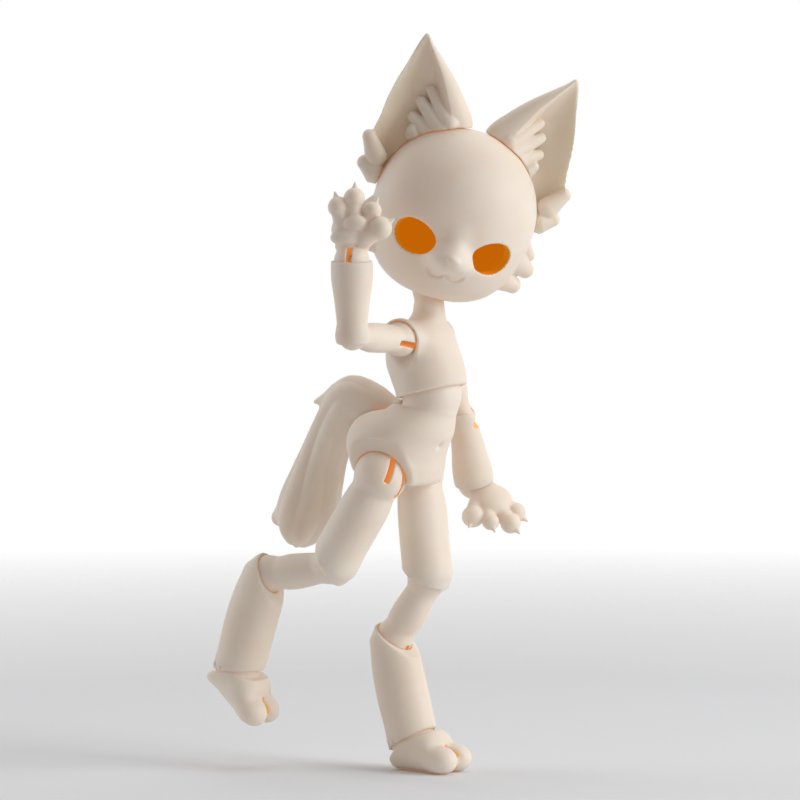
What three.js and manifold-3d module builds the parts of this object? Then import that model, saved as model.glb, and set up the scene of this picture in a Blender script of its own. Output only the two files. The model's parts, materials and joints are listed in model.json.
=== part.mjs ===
// Ball jointed animal doll, cast in resin and strung on elastic cord.
// Millimetres, +Z up. The doll is posed as in its photograph, standing on its left foot,
// and the origin is the middle of that foot's sole. In each limb's own frame the limb runs
// along -Z from its upper joint, -Y is its front and X is the axis that it bends about.
import * as THREE from 'three';
import { mergeVertices } from 'three/addons/utils/BufferGeometryUtils.js';
import Module from 'manifold-3d';

const wasm = await Module();
wasm.setup();

// Stringing and clearances
const play = 0.3;
const cordRadius = 0.6;
const cordPlay = 0.35;
const wireRadius = 0.45;
const slotWidth = 1.7;
const hookRadius = 1.3;
const hookLength = 9;
const barRadius = 0.5;
const rimWall = 0.7;
const overrun = 1;
const cordEnd = cordRadius + cordPlay + play;
const chamberRadius = hookRadius + wireRadius + play;
const chamberLength = hookLength + chamberRadius + play;

// Head
const neckToHead = 25;
const headHalfWidth = 24.6;
const headHalfDepth = 23.5;
const headTop = 24.8;
const headBottom = 27;
const headWall = 3.2;
const chinFullness = 0.3;
const capPlane = 8;
const muzzleReach = 25;
const muzzleDrop = 13.2;
const muzzleHalfWidth = 8.5;
const muzzleHalfHeight = 5.8;
const muzzleHalfDepth = 7.5;
const eyeHalfLength = 6.5;
const eyeHalfHeight = 5.2;
const eyeSpacing = 11.6;
const eyeForward = 20;
const eyeDrop = 7.4;
const cheekTuftLength = 9;
const eyeTilt = 22;
const eyeSplay = 28;
const magnetRadius = 1;
const magnetHeight = 1.2;
const magnetPlay = 0.2;
const magnetLean = 0.7;
const neckRim = 1;
const domeWall = 1.1;
const neckHoleRadius = 1.2;
const neckPlateRadius = 3;
const neckPlateHeight = 7.4;

// Ears
const earTipHeight = 47.5;
const earOuterReach = 29.6;
const earHalfDepth = 7;
const earWall = 1.8;
const earSetBack = 3;
const earTuftLength = 8;
const earHollowForward = 3.85;

// Torso
const neckRadius = 5;
const neckHeight = 31.5;
const chestHalfWidth = 12;
const chestHalfDepth = 11.2;
const waistBallRadius = 9;
const neckSetBack = 0.7;
const waistRim = -0.9;
const waistRimLean = 12.4;
const shoulderSpacing = 12.4;
const shoulderHeight = 16.8;
const shoulderSetBack = 4.3;
const shoulderRim = 0.6;
const shoulderRimLean = 2;
const pelvisHalfWidth = 17;
const pelvisHalfDepth = 14;
const pelvisDepth = 31;
const pelvisTopDrop = 3.4;
const pelvisTopLean = 10;
const hipSpacing = 10;
const hipDrop = 26.4;
const hipSetBack = 6.3;
const hipRim = 0;
const hipRimLean = 2.3;
const hipRimDrop = 1;
const hipRimForward = 0.5;
const cordMeeting = 15;
const cordTurn = 10;
const tailRootDrop = 8;
const tailRootSetBack = 10.2;
const tailRootRise = -5;
const tailHookLength = 4;
const tailRim = 0;
const tailChamberLength = tailHookLength + chamberRadius + play;

// Arms
const shoulderBallRadius = 5.2;
const upperArmLength = 27;
const upperArmRadius = 4.4;
const elbowBallRadius = 4;
const forearmLength = 22.1;
const forearmElbowRadius = 4.8;
const forearmWristRadius = 6.1;
const wristBallRadius = 5.2;
const palmLength = 9;
const palmHalfWidth = 6.2;
const palmHalfDepth = 3.9;
const wristRim = 0.2;
const elbowTurn = 70;
const elbowRim = 1.6;
const elbowRimLean = 52;
const elbowBackRim = 0.7;
const elbowNeck = 3.2;
const fingerRadius = 3.1;
const fingerReach = 17.4;
const thumbRadius = 3.4;
const clawLength = 4;

// Legs
const hipBallRadius = 8;
const thighLength = 32;
const thighHalfWidth = 8;
const thighHalfDepth = 7.4;
const kneeBallRadius = 6.1;
const kneeRim = 0.6;
const kneeRimLean = -35;
const shinLength = 22.5;
const shinRadius = 5.7;
const hockBallRadius = 5.8;
const hockRim = 0.5;
const hockRimLean = 50;
const metatarsalLength = 31.5;
const metatarsalHalfWidth = 7.4;
const metatarsalHalfDepth = 7.9;
const ankleBallRadius = 6.9;
const ankleRim = 0.1;
const ankleRimLean = 18;
const ankleHeight = 9.3;
const footLength = 17.5;
const footHalfWidth = 8.4;
const soleSetForward = 0.35;
const instepLean = 22;
const heelLean = 44;
const ankleGrooveRadius = 9.4;

// Tail
const tailBallRadius = 4;
const tailLength = 53;
const tailHalfWidth = 9.5;

// Pose of the photograph, in degrees
const pose = {
  heading: 56,
  pelvisPitch: 12.3,
  waistBend: -12.8,
  waistTurn: 8.1,
  neckNod: 20.2,
  neckTurn: -56.9,
  shoulderTurn: { right: 23, left: -81.8 },
  shoulderLift: { right: 5.8, left: -65.5 },
  elbowBend: { right: 83.2, left: -8 },
  wristTurn: { right: -20.9, left: -48 },
  wristBend: { right: 7.4, left: 58 },
  hipTurn: { right: 6.6, left: 0 },
  hipSwing: { right: 19.7, left: -18.9 },
  kneeBend: { right: 48.2, left: 39.5 },
  hockBend: { right: -59.3, left: -45.1 },
  ankleTurn: { right: 0, left: 0 },
  ankleBend: { right: 18.6, left: 12.2 },
  tailTurn: 13,
  tailLift: 0,
};

const sides = { right: -1, left: 1 };
const degree = Math.PI / 180;
const xAxis = new THREE.Vector3(1, 0, 0);
const yAxis = new THREE.Vector3(0, 1, 0);
const zAxis = new THREE.Vector3(0, 0, 1);

// Facets around balls, limbs, thin tubes and fingers, and the smallest detail that is kept
const finest = 0.07;
const ballFacets = 14;
const limbFacets = 12;
const tubeFacets = 6;
const fingerFacets = 8;

function vector(x, y, z) {
  return new THREE.Vector3(x, y, z);
}

const tailRoot = vector(0, tailRootSetBack, -tailRootDrop);
const tailOutward = vector(0, Math.cos(tailRootRise * degree), Math.sin(tailRootRise * degree));

// A closed three.js geometry as a solid that can be joined and cut
function solidOf(geometry) {
  const bare = geometry.clone();
  bare.deleteAttribute('normal');
  bare.deleteAttribute('uv');
  const merged = mergeVertices(bare);
  return new wasm.Manifold(new wasm.Mesh({
    numProp: 3,
    vertProperties: new Float32Array(merged.attributes.position.array),
    triVerts: new Uint32Array(merged.index.array),
  }));
}

function geometryOf(solid) {
  const mesh = solid.asOriginal().simplify(finest).getMesh();
  const geometry = new THREE.BufferGeometry();
  geometry.setAttribute('position', new THREE.BufferAttribute(mesh.vertProperties, 3));
  geometry.setIndex(new THREE.BufferAttribute(mesh.triVerts, 1));
  geometry.computeVertexNormals();
  return geometry;
}

function joined(solids) {
  return solids.reduce((whole, next) => whole.add(next));
}

function cut(solid, tools) {
  return tools.reduce((rest, tool) => rest.subtract(tool), solid);
}

// A solid swept through elliptic rings: each station has its centre and two half widths
function sweepGeometry(stations, facets, side = xAxis) {
  const positions = [];
  const triangles = [];
  const last = stations.length - 1;
  stations.forEach((station, index) => {
    const before = stations[Math.max(index - 1, 0)].at;
    const after = stations[Math.min(index + 1, last)].at;
    const along = after.clone().sub(before).normalize();
    const across = side.clone().addScaledVector(along, -side.dot(along)).normalize();
    const through = along.clone().cross(across);
    for (let facet = 0; facet < facets; facet += 1) {
      const angle = 2 * Math.PI * facet / facets;
      const point = station.at.clone()
        .addScaledVector(across, station.across * Math.cos(angle))
        .addScaledVector(through, station.through * Math.sin(angle));
      positions.push(point.x, point.y, point.z);
    }
  });
  for (let ring = 0; ring < last; ring += 1) {
    for (let facet = 0; facet < facets; facet += 1) {
      const next = (facet + 1) % facets;
      const a = ring * facets + facet;
      const b = ring * facets + next;
      triangles.push(a, b, b + facets, a, b + facets, a + facets);
    }
  }
  const firstCentre = positions.length / 3;
  positions.push(...stations[0].at.toArray());
  positions.push(...stations[last].at.toArray());
  for (let facet = 0; facet < facets; facet += 1) {
    const next = (facet + 1) % facets;
    triangles.push(firstCentre, next, facet);
    triangles.push(firstCentre + 1, last * facets + facet, last * facets + next);
  }
  const geometry = new THREE.BufferGeometry();
  geometry.setAttribute('position', new THREE.Float32BufferAttribute(positions, 3));
  geometry.setIndex(triangles);
  return geometry;
}

function sweep(stations, facets = limbFacets, side = xAxis) {
  return solidOf(sweepGeometry(stations, facets, side));
}

// Stations along the limb's own axis from shares: along, across, through and forward
function limbStations(shares, length, halfWidth, halfDepth) {
  return shares.map(([along, across, through, forward]) => ({
    at: vector(0, -forward * halfDepth, -along * length),
    across: across * halfWidth,
    through: through * halfDepth,
  }));
}

// A wire or cord of one radius through the given points
function tube(points, radius, side = xAxis) {
  const stations = points.map((at) => ({ at, across: radius, through: radius }));
  return sweep(stations, tubeFacets, side);
}

function ellipsoid(centre, halfSizes, facets = ballFacets) {
  const geometry = new THREE.SphereGeometry(1, facets, Math.ceil(facets / 2));
  geometry.rotateX(Math.PI / 2);
  geometry.scale(halfSizes.x, halfSizes.y, halfSizes.z);
  geometry.translate(centre.x, centre.y, centre.z);
  return solidOf(geometry);
}

function ball(radius, centre = vector(0, 0, 0), facets = ballFacets) {
  return ellipsoid(centre, vector(radius, radius, radius), facets);
}

// A ball's socket: its flat facets clear the ball by the play everywhere
function socket(radius, centre = vector(0, 0, 0)) {
  const facetShare = Math.cos(Math.PI / ballFacets) ** 2;
  return ball((radius + play) / facetShare, centre);
}

// Everything on the far side of a plane, as a block to cut away
function beyond(point, normal, size) {
  const geometry = new THREE.BoxGeometry(size, size, size);
  geometry.translate(0, 0, size / 2);
  const turn = new THREE.Quaternion().setFromUnitVectors(zAxis, normal.clone().normalize());
  geometry.applyQuaternion(turn);
  geometry.translate(point.x, point.y, point.z);
  return solidOf(geometry);
}

// A direction in the bending plane, turned from the upper pole towards the front
function bent(angle) {
  return vector(0, -Math.sin(angle * degree), Math.cos(angle * degree));
}

// The slot in a ball that the cord swings through, from one angle to another
function slot(radius, from, to, centre = vector(0, 0, 0), width = slotWidth) {
  const reach = radius + overrun;
  const steps = Math.ceil((to - from) / 15);
  const outline = new THREE.Shape();
  const half = width / 2;
  const start = bent(from - 90).multiplyScalar(half);
  outline.moveTo(start.y, start.z);
  for (let step = 0; step <= steps; step += 1) {
    const angle = from + (to - from) * step / steps;
    const edge = step === 0 ? -90 : 90;
    const spoke = bent(angle).multiplyScalar(reach);
    const offset = step === 0 || step === steps
      ? bent(angle + edge).multiplyScalar(half)
      : vector(0, 0, 0);
    outline.lineTo(spoke.y + offset.y, spoke.z + offset.z);
  }
  const end = bent(to + 90).multiplyScalar(half);
  outline.lineTo(end.y, end.z);
  const back = bent((from + to) / 2).multiplyScalar(-half);
  outline.lineTo(back.y, back.z);
  const geometry = new THREE.ExtrudeGeometry(outline, { depth: width, bevelEnabled: false });
  geometry.translate(0, 0, -half);
  const basis = new THREE.Matrix4().makeBasis(yAxis, zAxis, xAxis);
  geometry.applyMatrix4(basis);
  geometry.translate(centre.x, centre.y, centre.z);
  return solidOf(geometry);
}

// A straight bore between two points
function bore(from, to, radius = cordRadius + cordPlay) {
  const along = to.clone().sub(from);
  const side = Math.abs(along.x) > Math.abs(along.z) ? zAxis : xAxis;
  return tube([from, to], radius, side);
}

// The round pocket in a slotted ball with the cross bar that its hook holds
function barPocket(centre = vector(0, 0, 0)) {
  const disc = (radius, width) => {
    const geometry = new THREE.CylinderGeometry(radius, radius, width, 16);
    geometry.rotateZ(Math.PI / 2);
    geometry.translate(centre.x, centre.y, centre.z);
    return solidOf(geometry);
  };
  const pocket = disc(hookRadius + wireRadius + play, slotWidth);
  return { pocket, bar: disc(barRadius, slotWidth + overrun) };
}

// A crook of wire round the bar at the origin, as points from its free end to its stem
function crook() {
  const points = [];
  const steps = 8;
  for (let step = 0; step <= steps; step += 1) {
    const angle = (-190 + 240 * step / steps) * degree;
    points.push(vector(0, Math.cos(angle) * hookRadius, Math.sin(angle) * hookRadius));
  }
  return points;
}

// An S-hook: one crook at the origin and one turned the other way at the far end
function sHook(length) {
  const near = crook();
  const far = crook().reverse().map((point) => vector(0, -point.y, length - point.z));
  return tube([...near, ...far], wireRadius);
}

// A straight cord down a limb, from below one joint's centre to above the next
function limbCord(from, to) {
  return tube([vector(0, 0, -from), vector(0, 0, -to)], cordRadius);
}

// A cord from the waist ball down to where the two hip cords meet it
function pelvisCord() {
  const meeting = vector(0, hipSetBack, -cordMeeting);
  const reach = hipSpacing - cordRadius - cordPlay - play;
  return joined([
    tube([vector(0, 0, -cordEnd), vector(0, 0, -cordTurn), meeting], cordRadius),
    tube([vector(-reach, hipSetBack, -cordMeeting), vector(reach, hipSetBack, -cordMeeting)],
      cordRadius, zAxis),
  ]);
}

function spineCord() {
  const along = vector(0, neckSetBack, neckHeight);
  const unit = along.clone().normalize();
  const end = along.length() - chamberRadius - play;
  return tube([unit.clone().multiplyScalar(cordEnd), unit.clone().multiplyScalar(end)], cordRadius);
}

// Straight down, leaned to the front by an angle
function lean(angle) {
  return vector(0, -Math.sin(angle * degree), -Math.cos(angle * degree));
}

// A rim is a plane that ends a socket at a distance past its ball's centre
function rimCut(centre, normal, past, size) {
  const outward = normal.clone().normalize();
  return beyond(centre.clone().addScaledVector(outward, past), outward, size);
}

// A wide notch in a socket's lip: only its half on the open side of the centre
function notch(radius, from, to, neck) {
  const wide = slot(radius, from, to, vector(0, 0, 0), 2 * (neck + play));
  return wide.subtract(beyond(vector(0, 0, 0), bent((from + to) / 2).negate(), 3 * radius));
}

function thigh() {
  const shares = [
    [0.02, 0.78, 0.84, 0],
    [0.14, 0.84, 0.88, 0.03],
    [0.3, 0.96, 0.97, 0.05],
    [0.5, 1, 1, 0.04],
    [0.72, 0.98, 0.96, 0],
    [0.92, 0.93, 0.93, 0],
    [1, 0.88, 0.9, 0],
  ];
  const knee = vector(0, 0, -thighLength);
  const body = joined([
    sweep(limbStations(shares, thighLength, thighHalfWidth, thighHalfDepth)),
    ball(hipBallRadius),
    ball(kneeBallRadius + play + rimWall, knee),
  ]);
  return cut(body, [
    socket(kneeBallRadius, knee),
    rimCut(knee, lean(kneeRimLean), kneeRim, thighLength),
    slot(hipBallRadius, -45, 110),
    bore(vector(0, 0, 0), knee),
  ]);
}

function shin() {
  const shares = [
    [0, 0.9, 0.86, 0.06],
    [0.2, 0.88, 0.84, 0.1],
    [0.42, 0.94, 0.92, 0.1],
    [0.62, 0.98, 0.96, 0.08],
    [0.82, 0.92, 0.88, 0.04],
    [1, 0.86, 0.84, 0],
  ];
  const hock = vector(0, 0, -shinLength);
  const body = joined([
    sweep(limbStations(shares, shinLength, shinRadius, shinRadius)),
    ball(kneeBallRadius),
    ball(hockBallRadius, hock),
  ]);
  return cut(body, [
    slot(kneeBallRadius, -90, 5),
    slot(hockBallRadius, 90, 165, hock),
    bore(vector(0, 0, 0), hock),
  ]);
}

function metatarsal() {
  const shares = [
    [-0.02, 0.9, 0.86, -0.06],
    [0.14, 0.93, 0.92, -0.06],
    [0.32, 0.96, 0.95, -0.04],
    [0.6, 0.98, 0.98, 0],
    [0.85, 1.02, 1, 0.02],
    [1.06, 1.03, 0.99, 0.03],
    [1.16, 1, 0.95, 0.05],
  ];
  const origin = vector(0, 0, 0);
  const ankle = vector(0, 0, -metatarsalLength);
  const openUp = lean(180 - hockRimLean);
  const body = joined([
    sweep(limbStations(shares, metatarsalLength, metatarsalHalfWidth, metatarsalHalfDepth)),
    ball(hockBallRadius + play + rimWall),
  ]);
  return cut(body, [
    socket(hockBallRadius),
    rimCut(origin, openUp, hockRim, metatarsalLength),
    socket(ankleBallRadius, ankle),
    rimCut(ankle, lean(ankleRimLean), ankleRim, metatarsalLength),
    bore(origin, ankle),
    bore(vector(0, 0, chamberLength - metatarsalLength), ankle, chamberRadius),
  ]);
}

// The foot lies along -Y: rings from heel to toes, a flat sole and a cleft between two toes
function foot() {
  const shares = [
    [-0.38, 0.42, 0.3, -0.66],
    [-0.3, 0.66, 0.62, -0.4],
    [-0.1, 0.84, 0.9, -0.12],
    [0.15, 0.88, 0.94, -0.12],
    [0.4, 0.98, 0.8, -0.28],
    [0.65, 1, 0.64, -0.42],
    [0.85, 0.9, 0.46, -0.55],
    [0.97, 0.66, 0.28, -0.64],
  ];
  const stations = shares.map(([forward, across, high, lift]) => ({
    at: vector(0, -forward * footLength, lift * ankleHeight),
    across: across * footHalfWidth,
    through: high * ankleHeight,
  }));
  const cleftShares = [
    [0.56, 0.02],
    [0.72, 0.07],
    [0.9, 0.12],
    [1.05, 0.2],
  ];
  const cleft = cleftShares.map(([forward, across]) => ({
    at: vector(0, -forward * footLength, -ankleHeight / 2),
    across: across * footHalfWidth,
    through: 2 * ankleHeight,
  }));
  const { pocket, bar } = barPocket();
  const grooves = [instepLean, heelLean].map((angle) => ball(ankleGrooveRadius)
    .subtract(rimCut(vector(0, 0, 0), lean(angle), ankleRim + play, footLength * 2)));
  const body = joined([cut(sweep(stations), grooves), ball(ankleBallRadius)]);
  const opened = cut(body, [
    beyond(vector(0, 0, -ankleHeight), vector(0, 0, -1), footLength * 3),
    sweep(cleft, tubeFacets),
    slot(ankleBallRadius, -50, 50),
    pocket,
  ]);
  return joined([opened, bar]);
}

// The elbow bends in a plane turned about the arm from the shoulder slot's plane
function turnedAbout(solid, angle) {
  const geometry = geometryOf(solid);
  geometry.deleteAttribute('normal');
  geometry.rotateZ(angle * degree);
  return solidOf(geometry);
}

function upperArm(side) {
  const neckShare = elbowNeck / upperArmRadius;
  const shares = [
    [0, 0.86, 0.86, 0],
    [0.2, 0.93, 0.93, 0],
    [0.5, 1, 1, 0],
    [0.68, 0.96, 0.96, 0],
    [0.82, neckShare, neckShare, 0],
    [1, neckShare, neckShare, 0],
  ];
  const elbow = vector(0, 0, -upperArmLength);
  const body = joined([
    sweep(limbStations(shares, upperArmLength, upperArmRadius, upperArmRadius)),
    ball(shoulderBallRadius),
    ball(elbowBallRadius, elbow),
  ]);
  const elbowSlot = slot(elbowBallRadius, 165, 290, elbow);
  return cut(body, [
    slot(shoulderBallRadius, -25, 100),
    turnedAbout(elbowSlot, -side * elbowTurn),
    bore(vector(0, 0, 0), elbow),
  ]);
}

function forearm() {
  const wristShare = forearmWristRadius / forearmElbowRadius;
  const shares = [
    [-0.14, 0.8, 0.8, 0],
    [0, 1, 1, 0],
    [0.2, 1.02, 1.02, 0],
    [0.5, 1.12, 1.12, 0],
    [0.8, wristShare, wristShare, 0],
    [0.97, wristShare, wristShare, 0],
    [1.06, 0.97 * wristShare, 0.97 * wristShare, 0],
  ];
  const elbow = vector(0, 0, 0);
  const wrist = vector(0, 0, -forearmLength);
  const body = joined([
    sweep(limbStations(shares, forearmLength, forearmElbowRadius, forearmElbowRadius)),
    ball(elbowBallRadius + play + rimWall),
  ]);
  return cut(body, [
    socket(elbowBallRadius),
    rimCut(elbow, lean(180 - elbowRimLean), elbowRim, forearmLength),
    rimCut(elbow, lean(180), elbowBackRim, forearmLength),
    notch(elbowBallRadius + rimWall, -105, 14, elbowNeck),
    socket(wristBallRadius, wrist),
    rimCut(wrist, lean(0), wristRim, forearmLength),
    bore(elbow, wrist),
    bore(vector(0, 0, chamberLength - forearmLength), wrist, chamberRadius),
  ]);
}

// A finger: two joined balls and a claw, along a direction from the palm
function finger(root, tip, radius) {
  const clawShares = [
    [0, 0.42],
    [1, 0.34],
    [1.55, 0.06],
  ];
  const along = tip.clone().sub(root).normalize();
  const claw = sweep(clawShares.map(([out, across]) => ({
    at: tip.clone().addScaledVector(along, out * clawLength * radius / fingerRadius),
    across: radius * across,
    through: radius * across,
  })), tubeFacets, Math.abs(along.x) > 0.9 ? zAxis : xAxis);
  const middle = root.clone().lerp(tip, 0.5);
  return joined([
    ball(radius * 0.9, middle, fingerFacets),
    ball(radius, tip, fingerFacets),
    claw,
  ]);
}

// Fingers point along -Z, the palm faces -Y and the thumb lies on the inner side
function hand(side) {
  // Each row is a finger tip: towards the thumb, forward, along and its radius
  const fingerShares = [
    [-0.65, 0.26, 0.87, 1],
    [0.16, 0.15, 1, 1],
    [0.87, -0.05, 0.84, 0.85],
  ];
  const fingerRootShare = 0.6;
  const thumbShares = [
    [0.55, 0.36, 0.62],
    [1.45, 0.62, 1.09],
  ];
  const palmShare = 0.62;
  const fingers = fingerShares.map(([across, forward, along, thick]) => {
    const tip = vector(
      side * across * palmHalfWidth,
      -forward * palmHalfDepth,
      -along * fingerReach,
    );
    return finger(tip.clone().multiplyScalar(fingerRootShare), tip, thick * fingerRadius);
  });
  const [thumbRoot, thumbTip] = thumbShares.map(([across, forward, along]) => vector(
    side * across * palmHalfWidth,
    -forward * palmHalfDepth,
    -along * palmLength,
  ));
  const palmHalfSizes = vector(palmHalfWidth, palmHalfDepth, palmLength * palmShare);
  const { pocket, bar } = barPocket();
  const body = joined([
    ellipsoid(vector(0, 0, -palmLength), palmHalfSizes, limbFacets),
    ball(wristBallRadius),
    ...fingers,
    finger(thumbRoot, thumbTip, thumbRadius),
  ]);
  const opened = cut(body, [slot(wristBallRadius, -75, 80), pocket]);
  return joined([opened, bar]);
}

function chest() {
  const shares = [
    [-0.12, 0.88, 0.93, 0],
    [0, 0.91, 0.96, 0],
    [0.14, 0.93, 1.02, -0.08],
    [0.28, 0.93, 1.06, -0.18],
    [0.42, 0.98, 0.98, -0.25],
    [0.54, 1.06, 0.82, -0.25],
    [0.62, 0.95, 0.64, -0.2],
    [0.69, 0.72, 0.5, -0.14],
    [0.76, 0.45, 0.45, -0.08],
    [0.86, 0.38, 0.41, -0.06],
    [1, 0.34, 0.36, -0.06],
  ];
  const neck = vector(0, neckSetBack, neckHeight);
  const waist = vector(0, 0, 0);
  const stations = limbStations(shares, -neckHeight, chestHalfWidth, chestHalfDepth);
  const shoulders = Object.values(sides).map((side) => shoulderCentre(side));
  const body = joined([
    sweep(stations),
    ball(neckRadius, neck),
    ...shoulders.map((centre) => ball(shoulderBallRadius + play + rimWall, centre)),
  ]);
  const channel = vector(0, shoulderSetBack, shoulderHeight);
  const { pocket: neckPocket, bar: neckBar } = barPocket(neck);
  return cut(body, [
    socket(waistBallRadius, waist),
    rimCut(waist, lean(waistRimLean), waistRim, neckHeight),
    bore(waist, neck),
    slot(neckRadius, -25, 40, neck),
    neckPocket.subtract(neckBar),
    ...shoulders.flatMap((centre) => [
      socket(shoulderBallRadius, centre),
      rimCut(centre, vector(centre.x, 0, -shoulderRimLean), shoulderRim, shoulderBallRadius * 4),
      shoulderNotch(centre),
      bore(centre, channel),
    ]),
  ]);
}

// The lip below a shoulder is open so that the arm can hang
function shoulderNotch(centre) {
  const open = notch(shoulderBallRadius + rimWall, 130, 168, upperArmRadius);
  return turnedAbout(open, Math.sign(centre.x) * 90).translate(centre.toArray());
}

function shoulderCentre(side) {
  return vector(side * shoulderSpacing, shoulderSetBack, shoulderHeight);
}

function hipCentre(side) {
  return vector(side * hipSpacing, hipSetBack, -hipDrop);
}

function pelvis() {
  const shares = [
    [0.12, 0.5, 0.6, 0],
    [0.17, 0.58, 0.68, -0.1],
    [0.26, 0.74, 0.86, -0.3],
    [0.37, 0.88, 1.03, -0.5],
    [0.48, 0.95, 1.06, -0.61],
    [0.62, 0.98, 1.04, -0.64],
    [0.74, 0.97, 0.98, -0.58],
    [0.85, 0.88, 0.84, -0.5],
    [0.94, 0.68, 0.6, -0.44],
    [0.99, 0.4, 0.34, -0.4],
  ];
  const waist = vector(0, 0, 0);
  const hips = Object.values(sides).map((side) => hipCentre(side));
  const meeting = vector(0, hipSetBack, -cordMeeting);
  const hull = joined([
    sweep(limbStations(shares, pelvisDepth, pelvisHalfWidth, pelvisHalfDepth)),
    ...hips.map((centre) => ball(hipBallRadius + play + rimWall, centre)),
    ball(tailBallRadius + play + rimWall, tailRoot),
  ]);
  const aboveHull = lean(pelvisTopLean).negate();
  const belowChest = rimCut(waist, aboveHull, -pelvisTopDrop, 4 * waistBallRadius);
  const body = hull.subtract(belowChest).add(ball(waistBallRadius, waist));
  const hipTops = hips.map((centre) => vector(centre.x, centre.y, -cordMeeting));
  return cut(body, [
    slot(waistBallRadius, -32, 28),
    bore(waist, vector(0, 0, -cordTurn)),
    bore(vector(0, 0, -cordTurn), meeting),
    ball(cordRadius + cordPlay, vector(0, 0, -cordTurn), tubeFacets),
    ...hips.flatMap((centre, index) => [
      socket(hipBallRadius, centre),
      rimCut(
        centre,
        vector(centre.x * hipRimLean, -hipRimForward * hipSpacing, -hipSpacing),
        hipRim,
        hipBallRadius * 3,
      ),
      bore(centre, hipTops[index]),
      bore(hipTops[index], meeting),
      ball(cordRadius + cordPlay, hipTops[index], tubeFacets),
    ]),
    ball(cordRadius + cordPlay, meeting, tubeFacets),
    beyond(vector(0, 0, -hipDrop - hipRimDrop), vector(0, 0, -1), 4 * hipSpacing),
    socket(tailBallRadius, tailRoot),
    rimCut(tailRoot, tailOutward, tailRim, pelvisDepth),
    bore(tailRoot, tailRoot.clone().addScaledVector(tailOutward, -tailChamberLength), chamberRadius),
  ]);
}

// The head's frame has its origin at the neck ball and its centre above that
function skull(grow) {
  const geometry = new THREE.SphereGeometry(1, 24, 14);
  geometry.rotateX(Math.PI / 2);
  const position = geometry.attributes.position;
  for (let index = 0; index < position.count; index += 1) {
    const up = position.getZ(index);
    const high = up > 0 ? headTop : headBottom;
    const full = 1 + chinFullness * Math.max(-up, 0) ** 3;
    position.setXYZ(
      index,
      position.getX(index) * (headHalfWidth + grow) * full,
      position.getY(index) * (headHalfDepth + grow) * full,
      up * (high + grow) + neckToHead,
    );
  }
  return solidOf(geometry);
}

function eyeHole(side) {
  const centre = vector(side * eyeSpacing, -eyeForward, neckToHead - eyeDrop);
  const geometry = new THREE.CylinderGeometry(1, 0.8, 2 * headHalfDepth, 16);
  geometry.scale(eyeHalfLength, 0.5, eyeHalfHeight);
  geometry.rotateY(side * eyeTilt * degree);
  geometry.rotateZ(side * eyeSplay * degree);
  geometry.translate(centre.x, centre.y, centre.z);
  return solidOf(geometry);
}

function cheekTufts(side) {
  const tuftShares = [
    [1, -0.02, -0.22, 0.3],
    [1, 0.02, -0.38, 0.34],
    [0.87, 0.02, -0.63, 0.36],
  ];
  return tuftShares.map(([out, back, up, size]) => ellipsoid(
    vector(side * out * headHalfWidth, back * headHalfDepth, neckToHead + up * headBottom),
    vector(size * cheekTuftLength, size * cheekTuftLength, size * cheekTuftLength * 0.7),
    fingerFacets,
  ));
}

function earStations(side, wall, forward) {
  const shares = [
    [0.03, 0.44, 0.92, 0.6],
    [0.17, 0.32, 1.04, 0.9],
    [0.3, 0.2, 1.04, 1],
    [0.43, 0.1, 1, 1],
    [0.55, 0.08, 0.98, 0.94],
    [0.68, 0.23, 0.95, 0.8],
    [0.8, 0.41, 0.9, 0.6],
    [0.91, 0.6, 0.86, 0.36],
    [0.99, 0.76, 0.82, 0.12],
  ];
  return shares.map(([up, inner, outer, deep]) => {
    const from = inner * earOuterReach + wall;
    const to = outer * earOuterReach - wall;
    return {
      at: vector(side * (from + to) / 2, earSetBack - forward, neckToHead + up * earTipHeight),
      across: (to - from) / 2,
      through: Math.max(deep * earHalfDepth - wall / 2, wall / 4),
    };
  });
}

function ear(side) {
  const body = sweep(earStations(side, 0, 0), limbFacets);
  const hollow = earStations(side, earWall, earHollowForward).slice(2, 8);
  const tuftShares = [
    [1.03, 0.28, 0.32],
    [1.05, 0.17, 0.34],
    [0.96, 0.08, 0.34],
  ];
  const tufts = tuftShares.map(([out, up, size]) => ellipsoid(
    vector(side * out * earOuterReach, earSetBack, neckToHead + up * earTipHeight),
    vector(size * earTuftLength, size * earTuftLength * 0.8, size * earTuftLength),
    fingerFacets,
  ));
  const whole = joined([body, ...tufts]);
  return cut(whole, [sweep(hollow, limbFacets), skull(play), magnetPocket(side, 1)]);
}

// The ear magnets face each other across the joint between ear and skull
function magnetPlace(side) {
  const direction = vector(
    side * headHalfWidth * magnetLean,
    earSetBack,
    headTop * magnetLean,
  ).normalize();
  const scale = 1 / Math.hypot(
    direction.x / headHalfWidth,
    direction.y / headHalfDepth,
    direction.z / headTop,
  );
  const surface = direction.clone().multiplyScalar(scale).add(vector(0, 0, neckToHead));
  return { direction, surface };
}

function disc(centre, direction, radius, height) {
  const geometry = new THREE.CylinderGeometry(radius, radius, height, 16);
  const turn = new THREE.Quaternion().setFromUnitVectors(yAxis, direction.clone().normalize());
  geometry.applyQuaternion(turn);
  geometry.translate(centre.x, centre.y, centre.z);
  return solidOf(geometry);
}

function earMagnet(side, outward) {
  const { direction, surface } = magnetPlace(side);
  const offset = outward * (magnetHeight / 2 + play) + (outward > 0 ? play : 0);
  const centre = surface.clone().addScaledVector(direction, offset);
  return disc(centre, direction, magnetRadius, magnetHeight);
}

function magnetPocket(side, outward) {
  const { direction, surface } = magnetPlace(side);
  const depth = magnetHeight + 2 * play + magnetPlay;
  const centre = surface.clone().addScaledVector(direction, outward * depth / 2);
  return disc(centre, direction, magnetRadius + magnetPlay, depth + play);
}

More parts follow.
